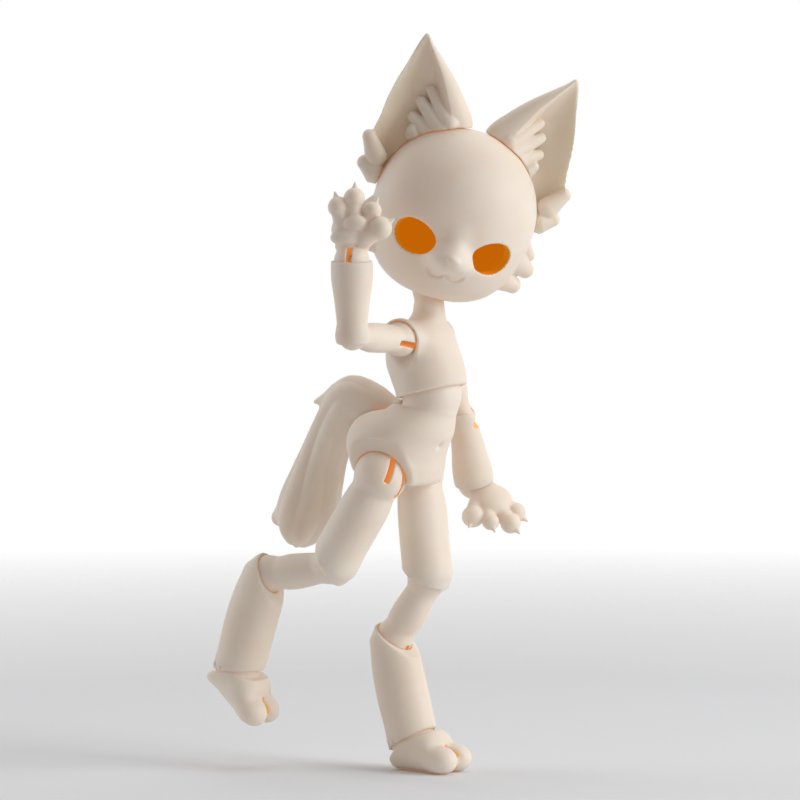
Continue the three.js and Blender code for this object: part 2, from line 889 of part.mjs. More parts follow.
function capMagnetCentre(side, back) {
  const share = Math.sqrt(1 - (capPlane / headHalfDepth) ** 2);
  const out = share * headHalfWidth - headWall / 2;
  const gap = back > 0 ? play : 0;
  return vector(side * out, capPlane + gap + back * (magnetHeight / 2 + play), neckToHead);
}

function capMagnet(side, back) {
  return disc(capMagnetCentre(side, back), yAxis, magnetRadius, magnetHeight);
}

function capMagnetPocket(side, back) {
  const height = magnetHeight + 4 * play;
  return disc(capMagnetCentre(side, back), yAxis, magnetRadius + magnetPlay, height);
}

function headFace() {
  const neck = vector(0, 0, 0);
  const muzzle = ellipsoid(
    vector(0, muzzleHalfDepth - muzzleReach, neckToHead - muzzleDrop),
    vector(muzzleHalfWidth, muzzleHalfDepth, muzzleHalfHeight),
    limbFacets,
  );
  const both = Object.values(sides);
  const shell = joined([skull(0), muzzle, ...both.flatMap((side) => cheekTufts(side))])
    .subtract(skull(-headWall));
  const dome = ball(neckRadius + play + domeWall, neck);
  return cut(joined([shell, dome]), [
    socket(neckRadius, neck),
    rimCut(neck, vector(0, 0, -1), neckRim, 3 * headHalfWidth),
    bore(neck, vector(0, 0, neckToHead), neckHoleRadius),
    beyond(vector(0, capPlane, neckToHead), yAxis, 3 * headHalfWidth),
    ...both.map((side) => eyeHole(side)),
    ...both.map((side) => magnetPocket(side, -1)),
    ...both.map((side) => capMagnetPocket(side, -1)),
  ]);
}

function headCap() {
  const front = beyond(vector(0, capPlane + play, neckToHead), vector(0, -1, 0), 4 * headHalfWidth);
  const both = Object.values(sides);
  return cut(skull(0).subtract(skull(-headWall)), [
    front,
    ...both.map((side) => capMagnetPocket(side, 1)),
  ]);
}

function neckHook() {
  const plate = disc(vector(0, 0, neckPlateHeight), zAxis, neckPlateRadius, wireRadius * 2);
  const stem = crook();
  stem.push(vector(0, 0, neckPlateHeight));
  return joined([tube(stem, wireRadius), plate]);
}

function tail() {
  const shares = [
    [0, 0, 0.34],
    [0.1, -0.01, 0.44],
    [0.2, -0.02, 0.62],
    [0.31, 0.01, 0.74],
    [0.43, 0.1, 0.78],
    [0.53, 0.24, 0.8],
    [0.6, 0.4, 0.84],
    [0.65, 0.55, 0.98],
    [0.69, 0.67, 1],
    [0.71, 0.77, 0.76],
    [0.72, 0.85, 0.34],
  ];
  const stations = shares.map(([out, down, width]) => ({
    at: vector(0, -down * tailLength, -out * tailLength),
    across: width * tailHalfWidth,
    through: width * tailHalfWidth,
  }));
  const { pocket, bar } = barPocket();
  const body = joined([sweep(stations), ball(tailBallRadius)]);
  const opened = cut(body, [slot(tailBallRadius, -40, 50), pocket]);
  return joined([opened, bar]);
}

// Meshes, bodies and their frames
function material(color, roughness, metalness) {
  return () => new THREE.MeshStandardMaterial({ color, roughness, metalness });
}

const resin = material(0xe9dfd3, 0.6, 0);
const elastic = material(0xf4f0e6, 0.8, 0);
const steel = material(0xb8b8b8, 0.3, 1);

function mesh(name, solid, finish) {
  const piece = new THREE.Mesh(geometryOf(solid), finish());
  piece.name = name;
  return piece;
}

// A frame in its parent, set at a place, turned about its own Z and then bent about its own X
function frame(parent, name, place, turn = 0, bend = 0, base = new THREE.Quaternion()) {
  const group = new THREE.Group();
  group.name = name;
  group.position.copy(place);
  const turned = new THREE.Quaternion().setFromAxisAngle(zAxis, turn * degree);
  const swung = new THREE.Quaternion().setFromAxisAngle(xAxis, bend * degree);
  group.quaternion.copy(base).multiply(turned).multiply(swung);
  parent.add(group);
  return group;
}

const origin = vector(0, 0, 0);
const doll = new THREE.Group();
doll.name = 'doll';

const pelvisFrame = frame(doll, 'pelvis_frame', origin, pose.heading, pose.pelvisPitch);
pelvisFrame.add(mesh('pelvis', pelvis(), resin));
pelvisFrame.add(mesh('pelvis_cord', pelvisCord(), elastic));

const spineFrame = frame(pelvisFrame, 'spine_frame', origin, 0, pose.waistBend);
spineFrame.add(mesh('spine_cord', spineCord(), elastic));
const chestFrame = frame(spineFrame, 'chest_frame', origin, pose.waistTurn);
chestFrame.add(mesh('chest', chest(), resin));

const neckFrame = frame(chestFrame, 'neck_frame', vector(0, neckSetBack, neckHeight), 0, pose.neckNod);
neckFrame.add(mesh('neck_hook', neckHook(), steel));
const headFrame = frame(neckFrame, 'head_frame', origin, pose.neckTurn);
headFrame.add(mesh('head_face', headFace(), resin));
headFrame.add(mesh('head_cap', headCap(), resin));

for (const [name, side] of Object.entries(sides)) {
  headFrame.add(mesh(`ear_${name}`, ear(side), resin));
  headFrame.add(mesh(`ear_magnet_${name}`, earMagnet(side, 1), steel));
  headFrame.add(mesh(`skull_magnet_${name}`, earMagnet(side, -1), steel));
  headFrame.add(mesh(`cap_magnet_${name}`, capMagnet(side, 1), steel));
  headFrame.add(mesh(`rim_magnet_${name}`, capMagnet(side, -1), steel));

  const lateral = new THREE.Quaternion().setFromAxisAngle(yAxis, -side * Math.PI / 2);
  const shoulderFrame = frame(chestFrame, `shoulder_frame_${name}`, shoulderCentre(side),
    pose.shoulderTurn[name], 0, lateral);
  const reach = shoulderSpacing - play;
  shoulderFrame.add(mesh(`shoulder_cord_${name}`, limbCord(-reach, -cordEnd), elastic));
  const armFrame = frame(shoulderFrame, `arm_frame_${name}`, origin, 0, pose.shoulderLift[name]);
  armFrame.add(mesh(`upper_arm_${name}`, upperArm(side), resin));
  const armCordEnd = upperArmLength - cordEnd;
  armFrame.add(mesh(`upper_arm_cord_${name}`, limbCord(cordEnd, armCordEnd), elastic));

  const elbowBase = new THREE.Quaternion().setFromAxisAngle(zAxis, -side * elbowTurn * degree);
  const elbowPlace = vector(0, 0, -upperArmLength);
  const forearmFrame = frame(armFrame, `forearm_frame_${name}`, elbowPlace, 0,
    pose.elbowBend[name], elbowBase);
  forearmFrame.add(mesh(`forearm_${name}`, forearm(), resin));
  const forearmCordEnd = forearmLength - chamberLength;
  forearmFrame.add(mesh(`forearm_cord_${name}`, limbCord(cordEnd, forearmCordEnd), elastic));
  const wristFrame = frame(forearmFrame, `wrist_frame_${name}`, vector(0, 0, -forearmLength),
    pose.wristTurn[name]);
  wristFrame.add(mesh(`wrist_hook_${name}`, sHook(hookLength), steel));
  const handFrame = frame(wristFrame, `hand_frame_${name}`, origin, 0, pose.wristBend[name]);
  handFrame.add(mesh(`hand_${name}`, hand(side), resin));

  const hipFrame = frame(pelvisFrame, `hip_frame_${name}`, hipCentre(side), pose.hipTurn[name]);
  const hipCordLength = hipDrop - cordMeeting - cordEnd;
  hipFrame.add(mesh(`hip_cord_${name}`, limbCord(-hipCordLength, -cordEnd), elastic));
  const thighFrame = frame(hipFrame, `thigh_frame_${name}`, origin, 0, pose.hipSwing[name]);
  thighFrame.add(mesh(`thigh_${name}`, thigh(), resin));
  thighFrame.add(mesh(`thigh_cord_${name}`, limbCord(cordEnd, thighLength - cordEnd), elastic));
  const shinFrame = frame(thighFrame, `shin_frame_${name}`, vector(0, 0, -thighLength), 0,
    pose.kneeBend[name]);
  shinFrame.add(mesh(`shin_${name}`, shin(), resin));
  shinFrame.add(mesh(`shin_cord_${name}`, limbCord(cordEnd, shinLength - cordEnd), elastic));
  const metatarsalFrame = frame(shinFrame, `metatarsal_frame_${name}`, vector(0, 0, -shinLength), 0,
    pose.hockBend[name]);
  metatarsalFrame.add(mesh(`metatarsal_${name}`, metatarsal(), resin));
  const metatarsalCordEnd = metatarsalLength - chamberLength;
  metatarsalFrame.add(mesh(`metatarsal_cord_${name}`, limbCord(cordEnd, metatarsalCordEnd), elastic));
  const ankleFrame = frame(metatarsalFrame, `ankle_frame_${name}`, vector(0, 0, -metatarsalLength),
    pose.ankleTurn[name]);
  ankleFrame.add(mesh(`ankle_hook_${name}`, sHook(hookLength), steel));
  const footFrame = frame(ankleFrame, `foot_frame_${name}`, origin, 0, pose.ankleBend[name]);
  footFrame.add(mesh(`foot_${name}`, foot(), resin));
}

const tailBase = new THREE.Quaternion().setFromUnitVectors(vector(0, 0, -1), tailOutward);
const tailHookFrame = frame(pelvisFrame, 'tail_hook_frame', tailRoot, pose.tailTurn, 0, tailBase);
tailHookFrame.add(mesh('tail_hook', sHook(tailHookLength), steel));
const tailFrame = frame(tailHookFrame, 'tail_frame', origin, 0, pose.tailLift);
tailFrame.add(mesh('tail', tail(), resin));

// The middle of the standing foot's sole is the origin of the whole part
doll.updateMatrixWorld(true);
const sole = vector(0, -soleSetForward * footLength, -ankleHeight);
doll.position.sub(doll.getObjectByName('foot_frame_left').localToWorld(sole));

export default doll;
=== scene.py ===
# A small ball jointed animal doll, cast in cream resin and strung on elastic, on a pale floor.
# Every piece is an implicit solid in its own limb's frame, in millimetres: a limb runs
# along -Z from its upper joint, -Y is its front and X is the axis that it bends about.
import math

import bpy
import numpy as np
from mathutils import Matrix, Vector
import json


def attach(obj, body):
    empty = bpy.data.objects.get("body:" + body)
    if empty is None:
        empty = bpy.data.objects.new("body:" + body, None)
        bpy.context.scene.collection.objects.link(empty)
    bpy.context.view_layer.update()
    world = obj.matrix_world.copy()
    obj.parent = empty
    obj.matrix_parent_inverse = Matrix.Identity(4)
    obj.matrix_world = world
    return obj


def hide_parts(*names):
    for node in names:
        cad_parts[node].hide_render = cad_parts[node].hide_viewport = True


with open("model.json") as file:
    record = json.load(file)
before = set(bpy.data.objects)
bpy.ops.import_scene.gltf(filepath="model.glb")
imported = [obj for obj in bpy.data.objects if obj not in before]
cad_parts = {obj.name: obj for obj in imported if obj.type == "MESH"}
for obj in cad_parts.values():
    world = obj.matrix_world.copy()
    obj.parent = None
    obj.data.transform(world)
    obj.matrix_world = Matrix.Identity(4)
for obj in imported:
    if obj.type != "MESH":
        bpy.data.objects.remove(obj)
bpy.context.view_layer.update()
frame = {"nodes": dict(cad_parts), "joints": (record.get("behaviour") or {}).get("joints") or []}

mm = 0.001

# The camera of the photograph, in millimetres and degrees
view_target = (-8.86, -12.6, 113.52)
view_distance = 1100.0
view_rise = 2.0
view_width = 240.16
sensor_width = 36.0

# Clearances and stringing
play = 0.3
cord_radius = 0.6
cord_play = 0.35
wire_radius = 0.45
slot_width = 1.7
hook_radius = 1.3
bar_radius = 0.5
overrun = 0.3
slot_overreach = 1.0
socket_wall = 0.7
rim_round = 0.35
slot_round = 0.3
# Faces deeper than this under the skin get the painted glow
painted_glow_depth = 0.3
hook_length = 9.0
bore_radius = cord_radius + cord_play
chamber_radius = hook_radius + wire_radius + play
chamber_length = hook_length + chamber_radius + play

# Slots in the balls: from and to, in degrees from the upper pole to the front
neck_slot = (-25, 40)
waist_slot = (-32, 28)
shoulder_slot = (-25, 140)
elbow_slot = (165, 290)
elbow_notch = (-105, 14)
wrist_slot = (-75, 128)
hip_slot = (-45, 110)
hip_side_slot = (0, 74)
knee_slot = (-90, 5)
hock_slot = (90, 165)
ankle_slot = (-50, 50)
tail_slot = (-40, 50)

# How softly forms run into each other, from a fine seam to a broad swell
seam_soft = 0.1
hair_soft = 0.3
lobe_soft = 0.35
close_soft = 0.4
shell_soft = 0.5
edge_soft = 0.6
lip_soft = 0.7
small_soft = 0.8
fold_soft = 0.9
ball_soft = 1.0
firm_soft = 1.2
toe_gap_soft = 1.4
limb_soft = 1.5
pad_soft = 1.6
boss_soft = 2.0
socket_soft = 2.5
muzzle_soft = 2.6
broad_soft = 3.0
swell_soft = 3.5

# Head
neck_to_head = 25.0
head_half_width = 24.6
head_half_depth = 23.5
head_top = 24.8
head_bottom = 27.0
head_wall = 3.2
chin_fullness = 0.3
skull_least_steep = 1e-3
cap_plane = 8.0
neck_radius = 5.0
neck_rim = 1.0
dome_wall = 1.1
neck_hole_radius = 1.2
eye_half_length = 6.9
eye_half_height = 5.1
eye_spacing = 12.6
eye_forward = 20.0
eye_drop = 8.2
eye_depth = 9.0
eye_egg_share = 0.08
eye_tilt = -3.0
eye_splay = 29.0
muzzle_half_width = 7.5
muzzle_half_depth = 8.5
muzzle_half_height = 4.7
muzzle_reach = 27.2
muzzle_drop = 11.6
nose_drop = 10.6
nose_radii = (1.8, 1.1, 1.1)
nose_reach = 0.1
nose_ridge_top = (0, -19.6, -4.0)
nose_ridge_end = (0, -23.0, 1.4 - nose_drop)
nose_ridge_radii = (3.2, 2.4)
mouth_drop = 16.2
mouth_half_width = 5.4
mouth_sag = 1.8
mouth_line = 0.45
mouth_depth = 0.5
magnet_radius = 1.0
magnet_height = 1.2
magnet_play = 0.2
magnet_boss = 2.4
magnet_lean_share = 0.7
ear_tip_height = 47.5
ear_outer_reach = 29.6
ear_half_depth = 7.0
ear_wall = 1.6
ear_rim_share = 0.1
ear_bowl_share = 0.5
ear_front_share = 0.75
ear_fold_share = 0.27
ear_open_share = 0.3
ear_set_back = 3.0
ear_step_share = 0.16
ear_bowl_out_share = 0.04
ear_front_steepness = 0.6
magnet_boss_taper = 0.8

# Torso
neck_height = 31.5
neck_set_back = 0.7
chest_half_width = 12.0
chest_half_depth = 11.2
waist_ball_radius = 9.0
waist_rim = -0.9
waist_rim_lean = 12.4
shoulder_spacing = 12.4
shoulder_height = 16.8
shoulder_set_back = 4.3
shoulder_rim = 0.6
shoulder_rim_lean = 2.0
scoop_angles = (130, 143, 156, 168)
scoop_reach = 8.4
lip_reach_share = 2.0
hip_lip_reach_share = 1.6
pelvis_half_width = 17.0
pelvis_half_depth = 14.0
pelvis_depth = 31.0
pelvis_top_drop = 3.4
pelvis_top_lean = 10.0
hip_spacing = 10.0
hip_drop = 26.4
hip_set_back = 6.3
hip_rim_lean = 2.3
hip_rim_forward = 0.5
hip_rim_drop = 1.0
hip_slot_turn = 50.0
cord_meeting = 15.0
cord_turn = 10.0
navel_drop = 14.5
navel_radius = 1.1
tail_root_drop = 8.0
tail_root_set_back = 10.2
tail_root_rise = -5.0
tail_hook_length = 4.0
tail_chamber_length = tail_hook_length + chamber_radius + play

# Arms
shoulder_ball_radius = 5.2
upper_arm_length = 27.0
upper_arm_radius = 4.4
elbow_ball_radius = 4.0
elbow_neck = 3.2
elbow_turn = 70.0
elbow_rim = 2.2
elbow_wall = 0.55
forearm_length = 22.1
forearm_elbow_radius = 4.8
forearm_wrist_radius = 6.1
wrist_ball_radius = 5.2
wrist_rim = 0.2
palm_length = 9.0
palm_half_width = 6.2
palm_half_depth = 3.9
thumb_radius = 3.4
claw_length = 4.0
claw_tip_radius = 0.26
finger_root_share = 0.6
palm_length_share = 0.62

# Legs
hip_ball_radius = 8.0
thigh_length = 32.0
thigh_half_width = 8.0
thigh_half_depth = 7.4
knee_ball_radius = 6.1
knee_rim = 0.6
knee_rim_lean = -35.0
shin_length = 22.5
shin_radius = 5.7
hock_ball_radius = 5.8
hock_rim = 0.5
hock_rim_lean = 50.0
metatarsal_length = 31.5
metatarsal_half_width = 7.4
metatarsal_half_depth = 7.9
ankle_ball_radius = 6.9
ankle_rim = 0.1
ankle_rim_lean = 18.0
ankle_height = 9.3
foot_length = 17.5
foot_half_width = 8.4
instep_lean = 22.0
heel_lean = 44.0
ankle_groove_radius = 9.4
toe_radius_shares = (0.54, 0.3, 0.46)
toe_gap_shares = [(0, -0.62, -0.12), (0, -1.04, -0.5), (0, -1.06, -1.1)]
toe_gap_radii = [0.2, 0.9, 1.0]

# Tail
tail_ball_radius = 4.0
tail_length = 53.0
tail_half_width = 9.5
lock_count = 7
lock_depth = 0.75
lock_sway = 2.4
lock_sway_turns = 5.0
lock_twist = 3.0
lock_level = 0.6
lock_start_share = 0.16
lock_grow_share = 0.2
tail_least_slope = 1e-6

# Pose of the photograph in degrees, right and left where there are two
pose = {
    "heading": 56.0,
    "pelvis_pitch": 12.3,
    "waist_bend": -12.8,
    "waist_turn": 8.1,
    "neck_nod": 20.2,
    "neck_turn": -56.9,
    "shoulder_turn": (23.0, -81.8),
    "shoulder_lift": (5.8, -65.5),
    "elbow_bend": (83.2, -8.0),
    "wrist_turn": (-20.9, -48.0),
    "wrist_bend": (7.4, 58.0),
    "hip_turn": (6.6, 0.0),
    "hip_swing": (19.7, -18.9),
    "knee_bend": (48.2, 39.5),
    "hock_bend": (-59.3, -45.1),
    "ankle_bend": (18.6, 12.2),
    "tail_turn": 13.0,
}
sides = {"right": -1, "left": 1}

# Mesh sizes: the grid step of the large, usual and small pieces
coarse_step = 0.42
usual_step = 0.36
fine_step = 0.27

# Boxes that hold the pieces: room around them, and corners where no limb's reach gives them
room = 1.0
metatarsal_room = 1.5
chest_box = ((-21, -13, -3), (21, 17, neck_height + neck_radius + room))
pelvis_box = ((-21, -16, -hip_drop - 4), (21, 26, waist_ball_radius + room))
head_reach = head_half_width + 4
head_box_top = neck_to_head + head_top + room
face_box = (
    (-head_reach - room, -head_reach, -2.5), (head_reach + room, cap_plane + room, head_box_top)
)
cap_box = (
    (-head_reach, cap_plane - room, -3), (head_reach, head_half_depth + room, head_box_top)
)
ear_box = ((0, -6, neck_to_head - 2), (36, 13, neck_to_head + ear_tip_height + room))
hand_box = ((-15, -8, -25), (15, 7, wrist_ball_radius + room))
foot_box = (
    (-foot_half_width - room, -foot_length * 1.1, -ankle_height - room),
    (foot_half_width + room, ankle_ball_radius + room, ankle_ball_radius + room),
)
tail_box = ((-11, -tail_length, -50), (11, 12, tail_ball_radius + room))

# Finishes: colours from 0 to 255, scales of textures and the depth of their relief in metres
resin_color = (242, 229, 213)
resin_roughness = 0.5
resin_tints = ((239, 224, 207), (245, 233, 219))
resin_stops = (0.35, 0.7)
resin_clouds = {"Scale": 45.0, "Detail": 3.0}
resin_grain = {"Scale": 2600.0, "Detail": 2.0}
resin_relief = {"Strength": 0.08, "Distance": 0.0001}
resin_depth = {
    "Subsurface Weight": 0.35,
    "Subsurface Radius": (1.0, 0.55, 0.3),
    "Subsurface Scale": 0.005,
    "Specular IOR Level": 0.35,
}
# Painted glow: orange colour and emission on the faces within the resin, standing in for light that
# shines through it, stronger inside the head
painted_glow_roughness = 0.6
painted_glow_clouds = {"Scale": 120.0}
painted_glow_dim_share = 0.92
body_painted_glow_color = (230, 172, 100)
body_painted_glow = 0.28
head_painted_glow_color = (200, 129, 7)
head_painted_glow = 0.42
cord_color = (226, 205, 176)
cord_roughness = 0.85
cord_braid = {"Scale": 900.0}
cord_relief = {"Distance": 0.0002}
steel_color = (176, 172, 166)
steel_roughness = 0.3
steel_scratches = {"Scale": 1500.0}
steel_relief = {"Strength": 0.1, "Distance": 0.0001}

# Stage, in metres: a floor that fades out, the sky and each light's place, size, power, colour
floor_color = (238, 239, 241)
floor_roughness = 0.9
floor_size = 2.4
floor_clear = 0.9
floor_solid_share = 0.7
sky_color = (222, 219, 216)
sky_strength = 0.36
lights_target = (0, 0, 0.12)
lights = {
    "right_light": ((0.95, -0.3, 0.45), (0.7, 0.9), 7.6, (0.98, 0.99, 1.0)),
    "left_light": ((-0.9, 0.25, 0.45), (0.6, 0.9), 2.5, (0.97, 0.98, 1.0)),
    "top_light": ((0.1, 0.25, 1.1), (0.9, 0.7), 2.9, (1.0, 1.0, 1.0)),
}


def turned(axis, degrees):
    return Matrix.Rotation(math.radians(degrees), 4, axis)


def placed(parent, at, turn=0.0, bend=0.0, base=Matrix.Identity(4)):
    return parent @ Matrix.Translation(at) @ base @ turned("Z", turn) @ turned("X", bend)


# Places of the joints in the limbs' frames
origin = Vector((0, 0, 0))
neck_place = (0, neck_set_back, neck_height)
elbow_place = (0, 0, -upper_arm_length)
wrist_place = (0, 0, -forearm_length)
knee_place = (0, 0, -thigh_length)
hock_place = (0, 0, -shin_length)
ankle_place = (0, 0, -metatarsal_length)


def shoulder_centre(side):
    return (side * shoulder_spacing, shoulder_set_back, shoulder_height)


def hip_centre(side):
    return (side * hip_spacing, hip_set_back, -hip_drop)


# The limbs' frames, from the waist outwards
leg_joints = [
    ("thigh_", "hip_", origin, "hip_swing"),
    ("shin_", "thigh_", knee_place, "knee_bend"),
    ("metatarsal_", "shin_", hock_place, "hock_bend"),
    ("foot_", "metatarsal_", ankle_place, "ankle_bend"),
]
frames = {}
waist = next(joint for joint in frame["joints"] if joint["name"] == "waist_bend")
base = Matrix.Translation(Vector(waist["pos_m"]) / mm)
frames["pelvis"] = placed(base, origin, pose["heading"], pose["pelvis_pitch"])
frames["chest"] = placed(
    placed(frames["pelvis"], origin, 0.0, pose["waist_bend"]), origin, pose["waist_turn"]
)
frames["neck"] = placed(frames["chest"], neck_place, 0.0, pose["neck_nod"])
frames["head"] = placed(frames["neck"], origin, pose["neck_turn"])
tail_root = Vector((0, tail_root_set_back, -tail_root_drop))
tail_base = turned("X", 90 + tail_root_rise)
frames["tail_hook"] = placed(frames["pelvis"], tail_root, pose["tail_turn"], 0.0, tail_base)
frames["tail"] = frames["tail_hook"]
for index, (name, side) in enumerate(sides.items()):
    lateral = turned("Y", -side * 90)
    frames["shoulder_" + name] = placed(
        frames["chest"], shoulder_centre(side), pose["shoulder_turn"][index], 0.0, lateral
    )
    frames["upper_arm_" + name] = placed(
        frames["shoulder_" + name], origin, 0.0, pose["shoulder_lift"][index]
    )
    frames["forearm_" + name] = placed(
        frames["upper_arm_" + name], elbow_place, 0.0, pose["elbow_bend"][index],
        turned("Z", -side * elbow_turn),
    )
    frames["wrist_" + name] = placed(
        frames["forearm_" + name], wrist_place, pose["wrist_turn"][index]
    )
    frames["hand_" + name] = placed(
        frames["wrist_" + name], origin, 0.0, pose["wrist_bend"][index]
    )
    frames["hip_" + name] = placed(frames["pelvis"], hip_centre(side), pose["hip_turn"][index])
    for part, parent, place, bend in leg_joints:
        frames[part + name] = placed(frames[parent + name], place, 0.0, pose[bend][index])


# Camera
def aim(obj, target):
    direction = Vector(target) - obj.location
    obj.rotation_euler = direction.to_track_quat("-Z", "Y").to_euler()


scene = bpy.context.scene
camera_data = bpy.data.cameras.new("camera")
camera_data.sensor_width = sensor_width
camera_data.lens = sensor_width * view_distance / view_width
camera = bpy.data.objects.new("camera", camera_data)
scene.collection.objects.link(camera)
rise = math.radians(view_rise)
offset = Vector((0, -math.cos(rise), math.sin(rise))) * view_distance
camera.location = (Vector(view_target) + offset) * mm
aim(camera, Vector(view_target) * mm)
scene.camera = camera
scene.view_settings.view_transform = "Standard"


# Fields: functions of an array of points that are negative inside the solid
def lengths(vectors):
    return np.sqrt(np.einsum("ij,ij->i", vectors, vectors))


def point(x, y, z):
    return np.array((x, y, z), float)


def blended(a, b, soft):
    mix = np.maximum(soft - np.abs(a - b), 0) / soft
    return np.minimum(a, b) - mix * mix * soft / 4


def carved(a, b, soft=rim_round):
    return -blended(-a, b, soft)


def kept(a, b, soft=rim_round):
    return -blended(-a, -b, soft)


def ball(points, radius, centre=(0, 0, 0)):
    return lengths(points - point(*centre)) - radius


def ellipsoid(points, centre, radii):
    local = points - point(*centre)
    radii = point(*radii)
    near = lengths(local / radii)
    steep = lengths(local / radii ** 2)
    return near * (near - 1) / np.maximum(steep, 1 / radii.max() ** 2)


def capsule(points, start, end, start_radius, end_radius):
    start = point(*start)
    along = point(*end) - start
    local = points - start
    share = np.clip(local @ along / (along @ along), 0, 1)
    gap = lengths(local - share[:, None] * along)
    return gap - start_radius - (end_radius - start_radius) * share


def chain(points, places, radii):
    ends = zip(places, places[1:], radii, radii[1:])
    return np.minimum.reduce([capsule(points, *pair) for pair in ends])


def past_plane(points, centre, normal, past):
    normal = point(*normal)
    return (points - point(*centre)) @ (normal / np.linalg.norm(normal)) - past


def lean(degrees):
    angle = math.radians(degrees)
    return (0, -math.sin(angle), -math.cos(angle))


# A slot in the bending plane between two angles, measured from the upper pole to the front
def slot(points, low, high, reach, centre=(0, 0, 0), width=slot_width):
    local = points - point(*centre)
    middle = math.radians((low + high) / 2)
    half = math.radians((high - low) / 2)
    outward = -local[:, 1] * math.sin(middle) + local[:, 2] * math.cos(middle)
    sideways = np.abs(-local[:, 1] * math.cos(middle) - local[:, 2] * math.sin(middle))
    edge = np.maximum(outward * math.cos(half) + sideways * math.sin(half), 0)
    across = sideways - edge * math.sin(half)
    beyond = outward - edge * math.cos(half)
    sign = np.where(sideways * math.cos(half) < outward * math.sin(half), -1.0, 1.0)
    wedge = np.maximum(np.hypot(across, beyond) * sign, lengths(local) - reach - overrun)
    return np.maximum(np.abs(local[:, 0]), wedge) - width / 2


def slotted(body, points, angles, reach, centre=(0, 0, 0)):
    return carved(body, slot(points, *angles, reach, centre), slot_round)


# A bore along a row of places
def bored(body, points, places, radius=bore_radius):
    return carved(body, chain(points, places, [radius] * len(places)), slot_round)


# The wall of a socket around a ball's place, and the hollow in it
def ringed(body, points, radius, soft, centre=(0, 0, 0)):
    return blended(body, ball(points, radius + play + socket_wall, centre), soft)


def socketed(body, points, radius, centre=(0, 0, 0)):
    return carved(body, ball(points, radius + play, centre))


# The pocket and cross bar that a hook holds in a slotted ball
def pocketed(body, points, centre=(0, 0, 0)):
    local = points - point(*centre)
    radial = np.hypot(local[:, 1], local[:, 2])
    pocket = np.maximum(radial - chamber_radius, np.abs(local[:, 0]) - slot_width / 2)
    bar = np.maximum(radial - bar_radius, np.abs(local[:, 0]) - slot_width / 2 - slot_round)
    return np.minimum(carved(body, pocket, slot_round), bar)


# Rows of shares smoothed into a fine table, one value of each column per place along
def smoothed(shares, samples=96):
    rows = np.array(shares, float)
    places = rows[:, 0]
    fine = np.linspace(places[0], places[-1], samples)
    columns = [fine]
    for column in rows.T[1:]:
        slopes = np.gradient(column, places)
        index = np.clip(np.searchsorted(places, fine) - 1, 0, len(places) - 2)
        gap = places[index + 1] - places[index]
        t = (fine - places[index]) / gap
        low, high = column[index], column[index + 1]
        start, end = slopes[index] * gap, slopes[index + 1] * gap
        columns.append(
            (2 * t ** 3 - 3 * t ** 2 + 1) * low + (t ** 3 - 2 * t ** 2 + t) * start
            + (3 * t ** 2 - 2 * t ** 3) * high + (t ** 3 - t ** 2) * end
        )
    return columns


# A limb of elliptic sections from rows of shares: along, across, through and forward
def limb(points, table, length, half_width, half_depth, cap_round):
    along = -points[:, 2] / length
    across, through, forward = (np.interp(along, table[0], column) for column in table[1:4])
    wide = across * half_width
    painted_glow_faces = through * half_depth
    x = points[:, 0]
    y = points[:, 1] + forward * half_depth
    ring = (np.hypot(x / wide, y / painted_glow_faces) - 1) * np.sqrt(wide * painted_glow_faces)
    ends = np.maximum(table[0][0] - along, along - table[0][-1]) * abs(length)
    return kept(ring, ends, cap_round)


# Surface nets: the zero surface of a field as quads, refined onto the surface
block = 4
block_reach_share = 1.5
blocks_at_once = 4096
refinings = 2
nudge_parts = 8
least_slope = 0.25


def sampled(field, low, step, cells):
    blocks = [count // block for count in cells]
    index = np.indices(blocks).reshape(3, -1).T
    centres = low + (index + 0.5) * block * step
    middle = field(centres)
    near = np.abs(middle) < block * step * block_reach_share
    values = np.full([count + 1 for count in cells], 1.0)
    inner = middle.reshape(blocks) < 0
    solid = inner.repeat(block, 0).repeat(block, 1).repeat(block, 2)
    values[:-1, :-1, :-1][solid] = -1.0
    offsets = np.indices([block + 1] * 3).reshape(3, -1).T
    for start in range(0, int(near.sum()), blocks_at_once):
        chosen = index[near][start:start + blocks_at_once] * block
        grid = (chosen[:, None, :] + offsets[None, :, :]).reshape(-1, 3)
        values[grid[:, 0], grid[:, 1], grid[:, 2]] = field(low + grid * step)
    return values


